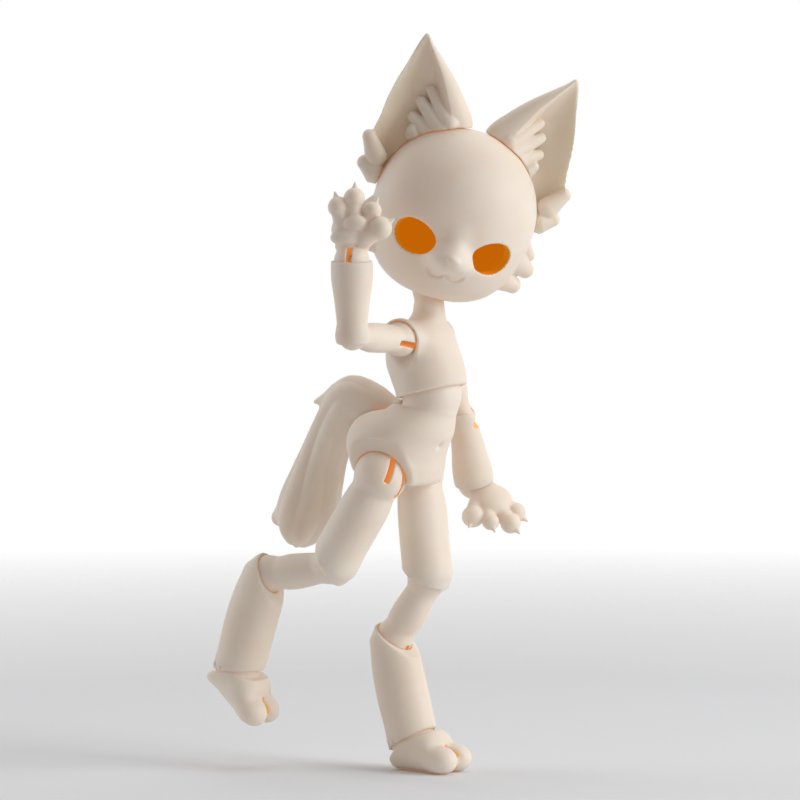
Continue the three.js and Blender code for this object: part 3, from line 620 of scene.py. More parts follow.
def netted(field, low, high, step):
    low = point(*low)
    cells = [int(math.ceil(span / step / block)) * block for span in point(*high) - low]
    values = sampled(field, low, step, cells)
    inside = values < 0
    shape = tuple(cells)
    corners = [(i, j, k) for i in (0, 1) for j in (0, 1) for k in (0, 1)]
    total = np.zeros(shape, np.int8)
    for i, j, k in corners:
        total += inside[i:i + shape[0], j:j + shape[1], k:k + shape[2]]
    cell = np.argwhere((total > 0) & (total < 8))
    number = np.full(shape, -1)
    number[cell[:, 0], cell[:, 1], cell[:, 2]] = np.arange(len(cell))
    found = np.zeros((len(cell), 3))
    count = np.zeros(len(cell))
    for first in corners:
        for axis in range(3):
            if first[axis]:
                continue
            second = tuple(1 if n == axis else c for n, c in enumerate(first))
            a = values[tuple((cell + first).T)]
            b = values[tuple((cell + second).T)]
            crossing = (a < 0) != (b < 0)
            share = np.where(crossing, a / np.where(crossing, a - b, 1), 0)
            place = np.array(first) + share[:, None] * (np.array(second) - np.array(first))
            found += place * crossing[:, None]
            count += crossing
    vertices = low + (cell + found / count[:, None]) * step
    quads = []
    for axis in range(3):
        one, two = (axis + 1) % 3, (axis + 2) % 3
        a = np.moveaxis(inside, (axis, one, two), (0, 1, 2))
        ids = np.moveaxis(number, (axis, one, two), (0, 1, 2))
        edges = np.argwhere(a[:-1, 1:-1, 1:-1] != a[1:, 1:-1, 1:-1]) + (0, 1, 1)
        i, j, k = edges.T
        quad = np.stack(
            [ids[i, j - 1, k - 1], ids[i, j, k - 1], ids[i, j, k], ids[i, j - 1, k]], 1
        )
        outward = a[i, j, k]
        quad[~outward] = quad[~outward][:, ::-1]
        quads.append(quad)
    quads = np.concatenate(quads)
    nudge = step / nudge_parts
    for _ in range(refinings):
        value = field(vertices)
        slope = np.stack([field(vertices + move) - value for move in np.eye(3) * nudge], 1) / nudge
        size = np.maximum((slope ** 2).sum(1), least_slope)
        move = -(value / size)[:, None] * slope
        reach = np.maximum(lengths(move) / (step / 2), 1)
        vertices = vertices + move / reach[:, None]
    return vertices, quads


# Nodes of materials, given their values and linked by the names of their sockets
def given(node, values):
    for name, value in values.items():
        node.inputs[name].default_value = value
    return node


def added(tree, kind, values=None):
    return given(tree.nodes.new("ShaderNode" + kind), values or {})


def linked(tree, *links):
    for source, output, target, entry in links:
        tree.links.new(source.outputs[output], target.inputs[entry])


def linear(color):
    return tuple(((share / 255 + 0.055) / 1.055) ** 2.4 for share in color)


def principled(name, color, roughness):
    material = bpy.data.materials.new(name)
    material.use_nodes = True
    shader = material.node_tree.nodes["Principled BSDF"]
    given(shader, {"Base Color": (*color, 1), "Roughness": roughness})
    return material, shader


# Faint clouds between two colours
def clouded(tree, shader, noise, colors, stops):
    cloud = added(tree, "TexNoise", noise)
    tint = added(tree, "ValToRGB")
    for element, stop, color in zip(tint.color_ramp.elements, stops, colors):
        element.position = stop
        element.color = (*color, 1)
    linked(
        tree, (added(tree, "TexCoord"), "Object", cloud, "Vector"),
        (cloud, "Fac", tint, "Fac"), (tint, "Color", shader, "Base Color"),
    )


# A fine relief from a texture, which lies in the object's own space unless it isn't placed
def bumped(tree, shader, kind, texture, relief, is_placed=True):
    source = added(tree, kind, texture)
    bump = added(tree, "Bump", relief)
    if is_placed:
        linked(tree, (added(tree, "TexCoord"), "Object", source, "Vector"))
    linked(tree, (source, "Fac", bump, "Height"), (bump, "Normal", shader, "Normal"))


# Cast resin: faint clouds in its colour, a fine satin grain and light that sinks in
def resin_material():
    material, shader = principled("resin", linear(resin_color), resin_roughness)
    tree = material.node_tree
    clouded(tree, shader, resin_clouds, [linear(color) for color in resin_tints], resin_stops)
    bumped(tree, shader, "TexNoise", resin_grain, resin_relief)
    given(shader, resin_depth)
    return material


# Painted glow: an orange colour that also emits light, put on the faces within the resin to stand
# in for the light that shines through it
def painted_glow_material(name, color, strength):
    material, shader = principled(name, color, painted_glow_roughness)
    dim = [channel * painted_glow_dim_share for channel in color]
    clouded(material.node_tree, shader, painted_glow_clouds, [dim, color], (0, 1))
    given(shader, {"Emission Color": (*color, 1), "Emission Strength": strength})
    return material


resin = resin_material()
# Painted glow for the faces within the body's pieces and, stronger, within the head
painted_glow_resin = painted_glow_material("resin_within", linear(body_painted_glow_color), body_painted_glow)
head_painted_glow_resin = painted_glow_material("resin_head_within", linear(head_painted_glow_color), head_painted_glow)
cord_finish, shader = principled("elastic_cord", linear(cord_color), cord_roughness)
bumped(cord_finish.node_tree, shader, "TexWave", cord_braid, cord_relief)
steel_finish, shader = principled("hook_steel", linear(steel_color), steel_roughness)
given(shader, {"Metallic": 1})
bumped(steel_finish.node_tree, shader, "TexNoise", steel_scratches, steel_relief, False)


# A piece: its field netted in its frame, with the skin's depth choosing each face's material: faces
# that lie deeper under the skin get the painted orange glow, which stands in for light shining
# through the resin.
# The frame and the body have the piece's own name unless others are given.
def piece(name, skin, field, box, step, where=None, body=None, painted_glow_finish=painted_glow_resin):
    vertices, quads = netted(field, *box, step)
    middles = vertices[quads].mean(1)
    # Faces deep under the skin get the second material, the painted glow
    painted_glow_faces = skin(middles) < -painted_glow_depth
    matrix = np.array(frames[where or name])
    world = (vertices @ matrix[:3, :3].T + matrix[:3, 3]) * mm
    mesh = bpy.data.meshes.new(name)
    mesh.vertices.add(len(world))
    mesh.vertices.foreach_set("co", world.astype(np.float32).ravel())
    mesh.loops.add(quads.size)
    mesh.loops.foreach_set("vertex_index", quads.astype(np.int32).ravel())
    mesh.polygons.add(len(quads))
    mesh.polygons.foreach_set("loop_start", np.arange(0, quads.size, 4, dtype=np.int32))
    mesh.polygons.foreach_set("material_index", painted_glow_faces.astype(np.int32))
    mesh.polygons.foreach_set("use_smooth", np.ones(len(quads), bool))
    mesh.update(calc_edges=True)
    mesh.materials.append(resin)
    mesh.materials.append(painted_glow_finish)
    made = bpy.data.objects.new(name + "_cast", mesh)
    scene.collection.objects.link(made)
    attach(made, body or name)
    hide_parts(name)


# The box of a limb that reaches as far to every side as from its ends
def around(reach, length):
    return (-reach, -reach, -length - reach), (reach, reach, reach)


# Legs
thigh_table = smoothed([
    [0.02, 0.78, 0.84, 0.0],
    [0.14, 0.85, 0.9, 0.03],
    [0.3, 0.96, 0.98, 0.05],
    [0.5, 1.0, 1.0, 0.04],
    [0.72, 0.99, 1.0, 0.02],
    [0.92, 0.96, 0.99, 0.02],
    [1.0, 0.92, 0.95, 0.0],
])
shin_table = smoothed([
    [0.0, 0.9, 0.86, 0.06],
    [0.2, 0.88, 0.84, 0.1],
    [0.42, 0.94, 0.92, 0.1],
    [0.62, 0.98, 0.96, 0.08],
    [0.82, 0.92, 0.88, 0.04],
    [1.0, 0.86, 0.84, 0.0],
])
metatarsal_table = smoothed([
    [-0.02, 0.9, 0.86, -0.06],
    [0.14, 0.94, 0.97, -0.1],
    [0.32, 0.98, 1.02, -0.11],
    [0.6, 1.0, 1.04, -0.07],
    [0.85, 1.02, 1.01, 0.0],
    [1.06, 1.03, 0.99, 0.03],
    [1.16, 1.0, 0.95, 0.05],
])
foot_table = smoothed([
    [-0.38, 0.42, 0.3, 0.66],
    [-0.3, 0.66, 0.62, 0.4],
    [-0.1, 0.84, 0.9, 0.12],
    [0.15, 0.88, 0.94, 0.12],
    [0.4, 0.96, 0.8, 0.28],
    [0.6, 0.92, 0.66, 0.4],
    [0.72, 0.8, 0.5, 0.5],
])


def thigh(points):
    body = limb(points, thigh_table, thigh_length, thigh_half_width, thigh_half_depth, limb_soft)
    body = ringed(body, points, knee_ball_radius, socket_soft, knee_place)
    lip = past_plane(points, knee_place, lean(knee_rim_lean), knee_rim)
    return blended(kept(body, lip, rim_round * 2), ball(points, hip_ball_radius), ball_soft)


# The hip's slot has a second arm towards the outer side, for legs that spread
def thigh_cut(side):
    def whole(points):
        body = socketed(thigh(points), points, knee_ball_radius, knee_place)
        body = slotted(body, points, hip_slot, hip_ball_radius)
        across = points @ np.array(turned("Z", side * hip_slot_turn).to_3x3())
        body = slotted(body, across, hip_side_slot, hip_ball_radius + slot_overreach)
        return bored(body, points, [origin, knee_place])

    return whole


def shin(points):
    body = limb(points, shin_table, shin_length, shin_radius, shin_radius, limb_soft)
    body = blended(body, ball(points, knee_ball_radius), firm_soft)
    return blended(body, ball(points, hock_ball_radius, hock_place), firm_soft)


def shin_cut(points):
    body = slotted(shin(points), points, knee_slot, knee_ball_radius)
    body = slotted(body, points, hock_slot, hock_ball_radius, hock_place)
    return bored(body, points, [origin, hock_place])


def metatarsal(points):
    body = limb(
        points, metatarsal_table, metatarsal_length, metatarsal_half_width,
        metatarsal_half_depth, ball_soft,
    )
    body = ringed(body, points, hock_ball_radius, socket_soft)
    body = kept(body, past_plane(points, origin, lean(180 - hock_rim_lean), hock_rim), lip_soft)
    return kept(body, past_plane(points, ankle_place, lean(ankle_rim_lean), ankle_rim), lip_soft)


def metatarsal_cut(points):
    top = (0, 0, chamber_length - metatarsal_length)
    body = socketed(metatarsal(points), points, hock_ball_radius)
    body = socketed(body, points, ankle_ball_radius, ankle_place)
    body = bored(body, points, [origin, ankle_place])
    return bored(body, points, [top, ankle_place], chamber_radius)


toe_shares = [(-0.47, 0.74, -0.56), (0.47, 0.74, -0.56)]


def foot(points):
    along = np.stack([points[:, 0], points[:, 2], points[:, 1]], 1)
    body = limb(along, foot_table, foot_length, foot_half_width, ankle_height, broad_soft)
    sizes = (foot_half_width, foot_length, ankle_height)
    radii = [size * share for size, share in zip(sizes, toe_radius_shares)]
    for out, forward, up in toe_shares:
        centre = (out * foot_half_width, -forward * foot_length, up * ankle_height)
        body = blended(body, ellipsoid(points, centre, radii), pad_soft)
    for angle in (instep_lean, heel_lean):
        above = -past_plane(points, origin, lean(angle), ankle_rim + play)
        ring = np.maximum(ball(points, ankle_groove_radius), -above)
        body = carved(body, ring, edge_soft)
    return blended(body, ball(points, ankle_ball_radius), close_soft)


def foot_cut(points):
    places = [(0, foot_length * along, ankle_height * up) for _, along, up in toe_gap_shares]
    body = carved(foot(points), chain(points, places, toe_gap_radii), toe_gap_soft)
    body = kept(body, past_plane(points, (0, 0, -ankle_height), (0, 0, -1), 0), firm_soft)
    return pocketed(slotted(body, points, ankle_slot, ankle_ball_radius), points)


for name, side in sides.items():
    piece(
        "thigh_" + name, thigh, thigh_cut(side), around(hip_ball_radius + room, thigh_length),
        coarse_step,
    )
    piece("shin_" + name, shin, shin_cut, around(knee_ball_radius + room, shin_length), usual_step)
    piece(
        "metatarsal_" + name, metatarsal, metatarsal_cut,
        around(metatarsal_half_depth + metatarsal_room, metatarsal_length), coarse_step,
    )
    piece("foot_" + name, foot, foot_cut, foot_box, usual_step)


# Torso
chest_table = smoothed([
    [-0.12, 0.88, 0.93, 0.0],
    [0.0, 0.91, 0.96, 0.0],
    [0.14, 0.93, 1.02, -0.08],
    [0.28, 0.93, 1.06, -0.18],
    [0.42, 0.98, 0.98, -0.25],
    [0.54, 1.04, 0.82, -0.25],
    [0.62, 0.95, 0.64, -0.2],
    [0.69, 0.72, 0.5, -0.14],
    [0.76, 0.45, 0.45, -0.08],
    [0.86, 0.38, 0.41, -0.06],
    [1.0, 0.34, 0.36, -0.06],
])
pelvis_table = smoothed([
    [0.06, 0.46, 0.54, 0.02],
    [0.12, 0.5, 0.6, 0.0],
    [0.17, 0.58, 0.68, -0.1],
    [0.26, 0.74, 0.86, -0.3],
    [0.37, 0.88, 1.03, -0.5],
    [0.48, 0.95, 1.06, -0.61],
    [0.62, 0.98, 1.04, -0.64],
    [0.74, 0.97, 0.98, -0.58],
    [0.85, 0.88, 0.84, -0.5],
    [0.94, 0.68, 0.6, -0.44],
    [0.99, 0.4, 0.34, -0.4],
])


# A wide notch in a socket's lip, on its open side only
def notch(points, low, high, reach, neck):
    middle = math.radians((low + high) / 2)
    outward = -points[:, 1] * math.sin(middle) + points[:, 2] * math.cos(middle)
    wide = slot(points, low, high, reach, (0, 0, 0), 2 * (neck + play))
    return np.maximum(wide, -outward)


# The scoop below a shoulder that the hanging arm lies in
def hanging_scoop(points):
    found = ball(points, upper_arm_radius)
    for angle in scoop_angles:
        turn = math.radians(angle)
        away = (0, -math.sin(turn) * upper_arm_length, math.cos(turn) * upper_arm_length)
        arm = capsule(points, origin, away, upper_arm_radius, upper_arm_radius)
        found = np.minimum(found, arm)
    return kept(found, ball(points, scoop_reach), boss_soft)


def chest(points):
    body = limb(points, chest_table, -neck_height, chest_half_width, chest_half_depth, firm_soft)
    body = blended(body, ball(points, neck_radius, neck_place), small_soft)
    for side in sides.values():
        body = ringed(body, points, shoulder_ball_radius, broad_soft, shoulder_centre(side))
    for side in sides.values():
        centre = shoulder_centre(side)
        outward = past_plane(points, centre, (centre[0], 0, -shoulder_rim_lean), shoulder_rim)
        near = ball(points, lip_reach_share * shoulder_ball_radius, centre)
        body = carved(body, np.maximum(-outward, near))
        local = points - point(*centre)
        across = np.stack([local[:, 1], -side * local[:, 0], local[:, 2]], 1)
        body = carved(body, hanging_scoop(across), pad_soft)
    return kept(body, past_plane(points, origin, lean(waist_rim_lean), waist_rim), rim_round * 2)


def chest_cut(points):
    channel = (0, shoulder_set_back, shoulder_height)
    body = socketed(chest(points), points, waist_ball_radius)
    body = bored(body, points, [origin, neck_place])
    body = slotted(body, points, neck_slot, neck_radius, neck_place)
    body = pocketed(body, points, neck_place)
    for side in sides.values():
        centre = shoulder_centre(side)
        body = socketed(body, points, shoulder_ball_radius, centre)
        body = bored(body, points, [centre, channel])
    return body


def pelvis(points):
    body = limb(points, pelvis_table, pelvis_depth, pelvis_half_width, pelvis_half_depth, limb_soft)
    for side in sides.values():
        body = ringed(body, points, hip_ball_radius, swell_soft, hip_centre(side))
    body = ringed(body, points, tail_ball_radius, broad_soft, tail_root)
    above = past_plane(points, origin, lean(180 + pelvis_top_lean), -pelvis_top_drop)
    body = kept(body, above, small_soft)
    body = blended(body, ball(points, waist_ball_radius), ball_soft)
    for side in sides.values():
        centre = hip_centre(side)
        normal = (side * hip_rim_lean, -hip_rim_forward, -1)
        below = -past_plane(points, centre, normal, 0)
        near = ball(points, hip_lip_reach_share * hip_ball_radius, centre)
        body = carved(body, np.maximum(below, near), fold_soft)
    from_navel = np.hypot(points[:, 0], points[:, 2] + navel_drop)
    dimple = navel_radius * np.exp(-(from_navel / navel_radius) ** 2)
    body = body + np.where(points[:, 1] < 0, dimple, 0)
    lowest = (0, 0, -hip_drop - hip_rim_drop)
    return kept(body, past_plane(points, lowest, (0, 0, -1), 0), ball_soft)


def pelvis_cut(points):
    rise = math.radians(tail_root_rise)
    outward = (0, math.cos(rise), math.sin(rise))
    inward = np.array(tail_root) - point(*outward) * tail_chamber_length
    meeting = (0, hip_set_back, -cord_meeting)
    body = slotted(pelvis(points), points, waist_slot, waist_ball_radius)
    for side in sides.values():
        centre = hip_centre(side)
        top = (centre[0], centre[1], -cord_meeting)
        body = socketed(body, points, hip_ball_radius, centre)
        body = bored(body, points, [centre, top, meeting])
    body = bored(body, points, [origin, (0, 0, -cord_turn), meeting])
    body = socketed(body, points, tail_ball_radius, tail_root)
    past = past_plane(points, tail_root, outward, 0)
    near = ball(points, lip_reach_share * tail_ball_radius, tail_root)
    body = carved(body, np.maximum(-past, near), shell_soft)
    return bored(body, points, [tail_root, inward], chamber_radius)


# Head, in a frame with its origin at the neck ball
def skull(points, grow=0.0):
    local = points - point(0, 0, neck_to_head)
    low = np.clip(-local[:, 2] / head_bottom, 0, 1)
    full = 1 + chin_fullness * low ** 3
    local = np.stack([local[:, 0] / full, local[:, 1] / full, local[:, 2]], 1)
    high = np.where(local[:, 2] > 0, head_top, head_bottom) + grow
    radii = np.stack([
        np.full(len(points), head_half_width + grow),
        np.full(len(points), head_half_depth + grow),
        high,
    ], 1)
    near = lengths(local / radii)
    steep = lengths(local / radii ** 2)
    return near * (near - 1) / np.maximum(steep, skull_least_steep)


# Lobes of fur: out, back and up from the head's middle of root and tip, and both radii
cheek_lobes = [
    (21.5, -1.0, -3.6, 26.0, 0.4, -6.6, 3.6, 1.6),
    (21.2, -2.0, -8.9, 26.0, 0.2, -10.9, 4.3, 2.6),
    (18.4, -2.0, -14.6, 23.6, -0.2, -16.4, 4.5, 2.6),
]


# Lobes that run into each other: how far out the points lie is given apart
def lobed(out, points, lobes, soft):
    local = np.stack([out, points[:, 1], points[:, 2] - neck_to_head], 1)
    found = None
    for lobe in lobes:
        part = capsule(local, lobe[:3], lobe[3:6], *lobe[6:])
        found = part if found is None else blended(found, part, soft)
    return found


# The muzzle: a low bulge that hangs over a mouth of two arcs, with a small nose on its edge
def muzzled(points, body):
    local = points - point(0, 0, neck_to_head)
    bulge = ellipsoid(
        local, (0, muzzle_half_depth - muzzle_reach, -muzzle_drop),
        (muzzle_half_width, muzzle_half_depth, muzzle_half_height),
    )
    ridge = capsule(local, nose_ridge_top, nose_ridge_end, *nose_ridge_radii)
    body = blended(blended(body, bulge, muzzle_soft), ridge, swell_soft)
    nose = ellipsoid(local, (0, -muzzle_reach - nose_reach, -nose_drop), nose_radii)
    return blended(body, nose, firm_soft)


# How far a point is from the mouth's line, seen from the front
def mouth_gap(points):
    across = np.abs(points[:, 0])
    up = points[:, 2] - neck_to_head + mouth_drop
    half = mouth_half_width / 2
    share = np.clip((across - half) / half, -1, 1)
    arc = np.abs(up + mouth_sag * (1 - share ** 2))
    steep = np.hypot(1, 2 * mouth_sag * share / half)
    past = np.maximum(across - mouth_half_width, 0)
    return np.hypot(arc / steep, past)


def head_outside(points):
    body = muzzled(points, skull(points))
    groove = mouth_depth * np.exp(-(mouth_gap(points) / mouth_line) ** 2)
    body = body + np.where(points[:, 1] < -head_half_depth / 2, groove, 0)
    tufts = lobed(np.abs(points[:, 0]), points, cheek_lobes, lobe_soft)
    return blended(body, tufts, shell_soft)


def eye_hole(points, side):
    centre = point(side * eye_spacing, -eye_forward, neck_to_head - eye_drop)
    turn = turned("Z", side * eye_splay) @ turned("Y", side * eye_tilt)
    local = (points - centre) @ np.array(turn.to_3x3())
    outward = side * local[:, 0] / eye_half_length
    high = eye_half_height * (1 + eye_egg_share * outward)
    ring = np.hypot(local[:, 0] / eye_half_length, local[:, 2] / high)
    behind = local[:, 1] - eye_depth
    return np.maximum((ring - 1) * eye_half_height, behind)


def head_face(points):
    body = carved(head_outside(points), skull(points, -head_wall), shell_soft)
    dome = ball(points, neck_radius + play + dome_wall)
    body = np.minimum(body, np.maximum(dome, skull(points, -head_wall / 2)))
    body = socketed(body, points, neck_radius)
    body = kept(body, past_plane(points, origin, (0, 0, -1), neck_rim))
    body = bored(body, points, [origin, (0, 0, neck_to_head)], neck_hole_radius)
    body = kept(body, past_plane(points, (0, cap_plane, 0), (0, 1, 0), 0), shell_soft)
    for side in sides.values():
        body = carved(body, eye_hole(points, side), edge_soft)
        body = carved(body, magnet_pocket(points, side, -1), seam_soft)
    return body


def head_cap(points):
    body = carved(skull(points), skull(points, -head_wall), shell_soft)
    seam = past_plane(points, (0, cap_plane + play, 0), (0, -1, 0), 0)
    return kept(body, seam, shell_soft)


def magnet_place(side):
    direction = point(
        side * head_half_width * magnet_lean_share, ear_set_back, head_top * magnet_lean_share
    )
    direction = direction / np.linalg.norm(direction)
    radii = point(head_half_width, head_half_depth, head_top)
    surface = direction / np.linalg.norm(direction / radii) + point(0, 0, neck_to_head)
    return direction, surface


def magnet_pocket(points, side, outward):
    direction, surface = magnet_place(side)
    depth = magnet_height + 2 * play + magnet_play
    local = points - surface
    along = local @ direction
    around = lengths(local - along[:, None] * direction)
    ends = np.abs(along - outward * depth / 2) - (depth + play) / 2
    return np.maximum(around - magnet_radius - magnet_play, ends)


# Ears: a leaf whose inner side is folded forward, a bowl beside the fold and locks of fur
ear_table = smoothed([
    [-0.06, 0.5, 0.86, 0.5],
    [0.03, 0.44, 0.94, 0.7],
    [0.17, 0.32, 1.02, 0.9],
    [0.3, 0.2, 1.03, 1.0],
    [0.43, 0.1, 1.0, 1.0],
    [0.55, 0.08, 0.985, 0.94],
    [0.68, 0.23, 0.95, 0.8],
    [0.8, 0.41, 0.9, 0.6],
    [0.91, 0.61, 0.86, 0.4],
    [0.97, 0.72, 0.835, 0.26],
    [1.01, 0.775, 0.81, 0.14],
])
ear_fur = [
    (9.5, 0.0, 24.5, 17.2, 4.0, 32.0, 3.0, 1.4),
    (10.5, 0.2, 21.5, 18.8, 4.8, 27.8, 3.3, 1.7),
    (11.0, 0.4, 18.5, 19.8, 5.0, 22.8, 3.5, 1.7),
    (12.0, 0.6, 14.5, 19.0, 4.8, 17.4, 3.5, 1.7),
]
ear_tufts = [
    (27.2, 3.0, 8.6, 30.8, 3.4, 13.6, 3.3, 2.1),
    (26.4, 3.2, 3.8, 29.7, 3.6, 5.6, 3.3, 2.3),
]


def ear_hull(points, side):
    up = (points[:, 2] - neck_to_head) / ear_tip_height
    inner, outer, painted_glow_faces = (np.interp(up, ear_table[0], column) for column in ear_table[1:4])
    start, end = inner * ear_outer_reach, outer * ear_outer_reach
    half = (end - start) / 2
    thick = painted_glow_faces * ear_half_depth
    across = (side * points[:, 0] - start) / (2 * half)
    back = points[:, 1] - ear_set_back
    ring = (np.hypot(2 * across - 1, back / thick) - 1) * np.minimum(half, thick)
    hull = kept(ring, (up - ear_table[0][-1]) * ear_tip_height, edge_soft)
    hull = kept(hull, -up * ear_tip_height, edge_soft)
    opened = np.clip((1 - up) / ear_open_share, 0, 1) ** 0.5
    past_fold = np.clip((across - ear_fold_share) / ear_step_share, 0, 1)
    step = past_fold ** 2 * (3 - 2 * past_fold) * opened
    middle = (1 + ear_fold_share) / 2 + ear_bowl_out_share
    bowl = np.clip(1 - ((across - middle) / (1 - middle)) ** 2, 0, 1) * ear_bowl_share
    front = thick * (step * (ear_front_share + ear_rim_share + bowl) - ear_front_share)
    edge = thick * np.sqrt(np.clip(1 - (2 * across - 1) ** 2, 0, 1)) - ear_wall
    front = np.minimum(front, np.maximum(edge, -ear_front_share * thick))
    return kept(hull, (front - back) * ear_front_steepness, fold_soft)


def ear(side):
    def outside(points):
        out = side * points[:, 0]
        direction, surface = magnet_place(side)
        boss = capsule(
            points, surface, surface + direction * magnet_boss, magnet_boss,
            magnet_boss_taper * magnet_boss,
        )
        body = blended(ear_hull(points, side), boss, boss_soft)
        body = blended(body, lobed(out, points, ear_fur, hair_soft), close_soft)
        return blended(body, lobed(out, points, ear_tufts, close_soft), edge_soft)

    def whole(points):
        body = carved(outside(points), skull(points, play), shell_soft)
        return carved(body, magnet_pocket(points, side, 1), seam_soft)

    return outside, whole


# Arms
wrist_share = forearm_wrist_radius / forearm_elbow_radius
upper_arm_rows = [(0.0, 0.86), (0.2, 0.93), (0.5, 1.0), (0.68, 0.96), (0.82, 0.76), (1.0, 0.73)]
forearm_rows = [
    (-0.14, 0.78), (0.0, 0.9), (0.2, 0.95), (0.5, 1.1), (0.8, wrist_share), (0.97, wrist_share),
    (1.06, 0.97 * wrist_share),
]
upper_arm_table, forearm_table = (
    smoothed([(along, share, share, 0) for along, share in rows])
    for rows in (upper_arm_rows, forearm_rows)
)


def upper_arm(side):
    def outside(points):
        body = limb(
            points, upper_arm_table, upper_arm_length, upper_arm_radius, upper_arm_radius,
            ball_soft,
        )
        body = blended(body, ball(points, shoulder_ball_radius), ball_soft)
        return blended(body, ball(points, elbow_ball_radius, elbow_place), small_soft)

    def whole(points):
        reach = shoulder_ball_radius + slot_overreach
        body = slotted(outside(points), points, shoulder_slot, reach)
        across = points @ np.array(turned("Z", -side * elbow_turn).to_3x3())
        body = slotted(body, across, elbow_slot, elbow_ball_radius, elbow_place)
        return bored(body, points, [origin, elbow_place])

    return outside, whole


def forearm(points):
    body = limb(
        points, forearm_table, forearm_length, forearm_elbow_radius, forearm_elbow_radius,
        ball_soft,
    )
    cup = ball(points, elbow_ball_radius + play + elbow_wall)
    body = blended(body, cup, limb_soft)
    body = kept(body, past_plane(points, origin, lean(180), elbow_rim), lip_soft)
    return kept(body, past_plane(points, wrist_place, lean(0), wrist_rim), lip_soft)


def forearm_cut(points):
    top = (0, 0, chamber_length - forearm_length)
    body = socketed(forearm(points), points, elbow_ball_radius)
    body = carved(body, notch(points, *elbow_notch, elbow_ball_radius + socket_wall, elbow_neck))
    body = socketed(body, points, wrist_ball_radius, wrist_place)
    body = bored(body, points, [origin, wrist_place])
    return bored(body, points, [top, wrist_place], chamber_radius)


# Fingers: towards the thumb, forward, along and the tip's radius
finger_tips = [
    (-4.0, -1.2, -15.6, 3.1),
    (0.6, -1.0, -18.2, 3.1),
    (6.0, -0.6, -14.7, 2.6),
]
thumb_root = (4.0, -1.2, -6.6)
thumb_tip = (8.6, -1.6, -9.6)


# Shares of a tip's radius: how far back its finger ends, the finger's two ends and the claw
finger_back, finger_root, finger_waist, claw_start, claw_root = 0.4, 0.84, 0.8, 0.7, 0.4
claw_out_share = 0.5

# Forms of the palm, its heel and its pad: centre, radii and softness
palm_root = ((0, 0.2, -palm_length * 0.46), (5.0, 2.2, 3.4), limb_soft)
palm_pads = [
    ((-1.6, -palm_half_depth * 0.62, -palm_length * 0.74), (4.4, 2.2, 2.4), small_soft),
    ((1.2, -palm_half_depth * 0.72, -palm_length * 1.2), (3.5, 2.1, 2.6), shell_soft),
]


def clawed(points, root, tip, radius):
    root, tip = point(*root), point(*tip)
    along = (tip - root) / np.linalg.norm(tip - root)
    end = tip - along * radius * finger_back
    body = capsule(points, root, end, radius * finger_root, radius * finger_waist)
    body = blended(body, ball(points, radius, tip), hair_soft)
    start = tip + along * radius * claw_start
    end = tip + along * (radius * finger_waist + claw_length * claw_out_share)
    claw = capsule(points, start, end, radius * claw_root, claw_tip_radius)
    return blended(body, claw, hair_soft)


def hand(side):
    def outside(points):
        local = points * (side, 1, 1)
        radii = (palm_half_width, palm_half_depth, palm_length * palm_length_share)
        palm = ellipsoid(local, (0, 0, -palm_length), radii)
        centre, radii, soft = palm_root
        palm = blended(palm, ellipsoid(local, centre, radii), soft)
        palm = blended(palm, ball(local, wrist_ball_radius), shell_soft)
        for centre, radii, soft in palm_pads:
            palm = blended(palm, ellipsoid(local, centre, radii), soft)
        for tip in finger_tips:
            root = tuple(finger_root_share * share for share in tip[:3])
            palm = blended(palm, clawed(local, root, tip[:3], tip[3]), edge_soft)
        return blended(palm, clawed(local, thumb_root, thumb_tip, thumb_radius), small_soft)

    def whole(points):
        return pocketed(slotted(outside(points), points, wrist_slot, wrist_ball_radius), points)

    return outside, whole


# Tail: a curved bushy body with long locks of fur, in a frame with -Z outward and -Y down
tail_shares = [
    [0.0, 0.0, 0.36],
    [0.1, -0.01, 0.5],
    [0.2, -0.02, 0.68],
    [0.32, -0.03, 0.75],
    [0.405, 0.07, 0.73],
    [0.48, 0.2, 0.72],
    [0.55, 0.36, 0.77],
    [0.61, 0.52, 0.88],
    [0.66, 0.66, 0.98],
    [0.7, 0.75, 0.9],
    [0.73, 0.83, 0.6],
]
tail_locks = [
    ((0, -34, -40), (0, -41.5, -46.4), 4.5, 2.8),
    ((0, 1.0, -23), (0, -1.4, -31.2), 4.2, 0.7),
]
tail_spine = smoothed([
    [index, out, down, width] for index, (out, down, width) in enumerate(tail_shares)
], samples=48)


tail_places = np.stack([
    np.zeros(len(tail_spine[0])), -tail_spine[2] * tail_length, -tail_spine[1] * tail_length
], 1)


def tail_body(points):
    places = tail_places
    radii = tail_spine[3] * tail_half_width
    best = np.full(len(points), np.inf)
    along = np.zeros(len(points))
    for index in range(len(places) - 1):
        start, step = places[index], places[index + 1] - places[index]
        local = points - start
        share = np.clip(local @ step / (step @ step), 0, 1)
        gap = lengths(local - share[:, None] * step) - (
            radii[index] + share * (radii[index + 1] - radii[index])
        )
        nearer = gap < best
        best = np.where(nearer, gap, best)
        along = np.where(nearer, (index + share) / (len(places) - 1), along)
    return best, along


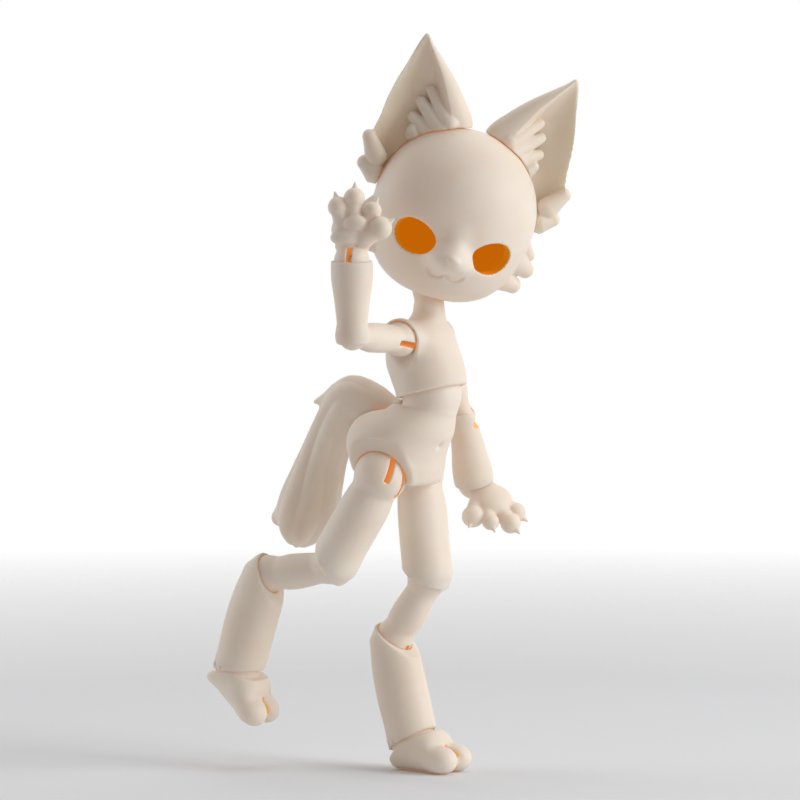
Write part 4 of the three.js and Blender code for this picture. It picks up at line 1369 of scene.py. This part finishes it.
def tail(points):
    body, along = tail_body(points)
    spot = along * (len(tail_spine[0]) - 1)
    index = np.arange(len(tail_spine[0]))
    centre_y = np.interp(spot, index, tail_places[:, 1])
    centre_z = np.interp(spot, index, tail_places[:, 2])
    slope_y = np.interp(spot, index, np.gradient(-tail_spine[2]))
    slope_z = np.interp(spot, index, np.gradient(-tail_spine[1]))
    size = np.maximum(np.hypot(slope_y, slope_z), tail_least_slope)
    outer = ((points[:, 1] - centre_y) * slope_z - (points[:, 2] - centre_z) * slope_y) / size
    angle = np.arctan2(points[:, 0], outer)
    sway = lock_sway * np.sin(along * lock_sway_turns)
    wave = np.cos(lock_count * angle + sway + along * lock_twist)
    ridge = np.sqrt(np.clip((1 + wave) / 2, 0, 1)) - lock_level
    strength = np.clip((along - lock_start_share) / lock_grow_share, 0, 1)
    body = body - lock_depth * strength * ridge
    for lock in tail_locks:
        body = blended(body, capsule(points, *lock), limb_soft)
    return blended(body, ball(points, tail_ball_radius), edge_soft)


def tail_cut(points):
    return pocketed(slotted(tail(points), points, tail_slot, tail_ball_radius), points)


piece("chest", chest, chest_cut, chest_box, coarse_step)
piece("pelvis", pelvis, pelvis_cut, pelvis_box, coarse_step)
# The head's inner faces, seen through the eye holes, get the stronger painted orange glow
piece("head_face", head_outside, head_face, face_box, coarse_step, "head", "head", head_painted_glow_resin)
piece("head_cap", skull, head_cap, cap_box, coarse_step, "head", "head_cap", head_painted_glow_resin)
for name, side in sides.items():
    corners = np.array(ear_box) * (side, 1, 1)
    box = (corners.min(0), corners.max(0))
    piece("ear_" + name, *ear(side), box, fine_step, "head")
    box = around(shoulder_ball_radius + room, upper_arm_length)
    piece("upper_arm_" + name, *upper_arm(side), box, usual_step)
    box = around(forearm_wrist_radius + room, forearm_length)
    piece("forearm_" + name, forearm, forearm_cut, box, usual_step)
    piece("hand_" + name, *hand(side), hand_box, fine_step)
piece("tail", tail, tail_cut, tail_box, coarse_step)


# A floor that fades out towards its edge
bpy.ops.mesh.primitive_plane_add(size=floor_size, location=(0, 0, 0))
floor = bpy.context.object
floor.name = "floor"
floor_material, shader = principled("floor_pale", linear(floor_color), floor_roughness)
tree = floor_material.node_tree
scaled = added(tree, "VectorMath")
scaled.operation = "SCALE"
given(scaled, {"Scale": 1 / floor_clear})
fade = added(tree, "TexGradient")
fade.gradient_type = "SPHERICAL"
solid_part = added(tree, "MapRange", {"From Min": 0, "From Max": floor_solid_share})
linked(
    tree, (added(tree, "TexCoord"), "Object", scaled, 0), (scaled, "Vector", fade, "Vector"),
    (fade, "Fac", solid_part, "Value"), (solid_part, "Result", shader, "Alpha"),
)
floor.data.materials.append(floor_material)

for name, (place, size, power, color) in lights.items():
    data = bpy.data.lights.new(name, "AREA")
    data.shape = "RECTANGLE"
    data.size, data.size_y = size
    data.energy = power
    data.color = color
    lamp = bpy.data.objects.new(name, data)
    scene.collection.objects.link(lamp)
    lamp.location = place
    aim(lamp, lights_target)

# A soft sky, which is white where the camera, a gloss or clear matter looks at it
world = bpy.data.worlds.new("studio")
scene.world = world
world.use_nodes = True
tree = world.node_tree
sky = given(tree.nodes["Background"], {"Color": (*linear(sky_color), 1), "Strength": sky_strength})
white = added(tree, "Background", {"Color": (1, 1, 1, 1), "Strength": 1})
path = added(tree, "LightPath")
seen = added(tree, "MixShader")
either, output = path, "Is Camera Ray"
for kind in ("Is Glossy Ray", "Is Transmission Ray"):
    most = added(tree, "Math")
    most.operation = "MAXIMUM"
    linked(tree, (either, output, most, 0), (path, kind, most, 1))
    either, output = most, "Value"
linked(
    tree, (either, output, seen, "Fac"), (sky, "Background", seen, 1),
    (white, "Background", seen, 2), (seen, "Shader", tree.nodes["World Output"], "Surface"),
)

for name, node in frame["nodes"].items():
    finish = cord_finish if "cord" in name else steel_finish
    if "cord" in name or "hook" in name or "magnet" in name:
        node.data.materials.clear()
        node.data.materials.append(finish)
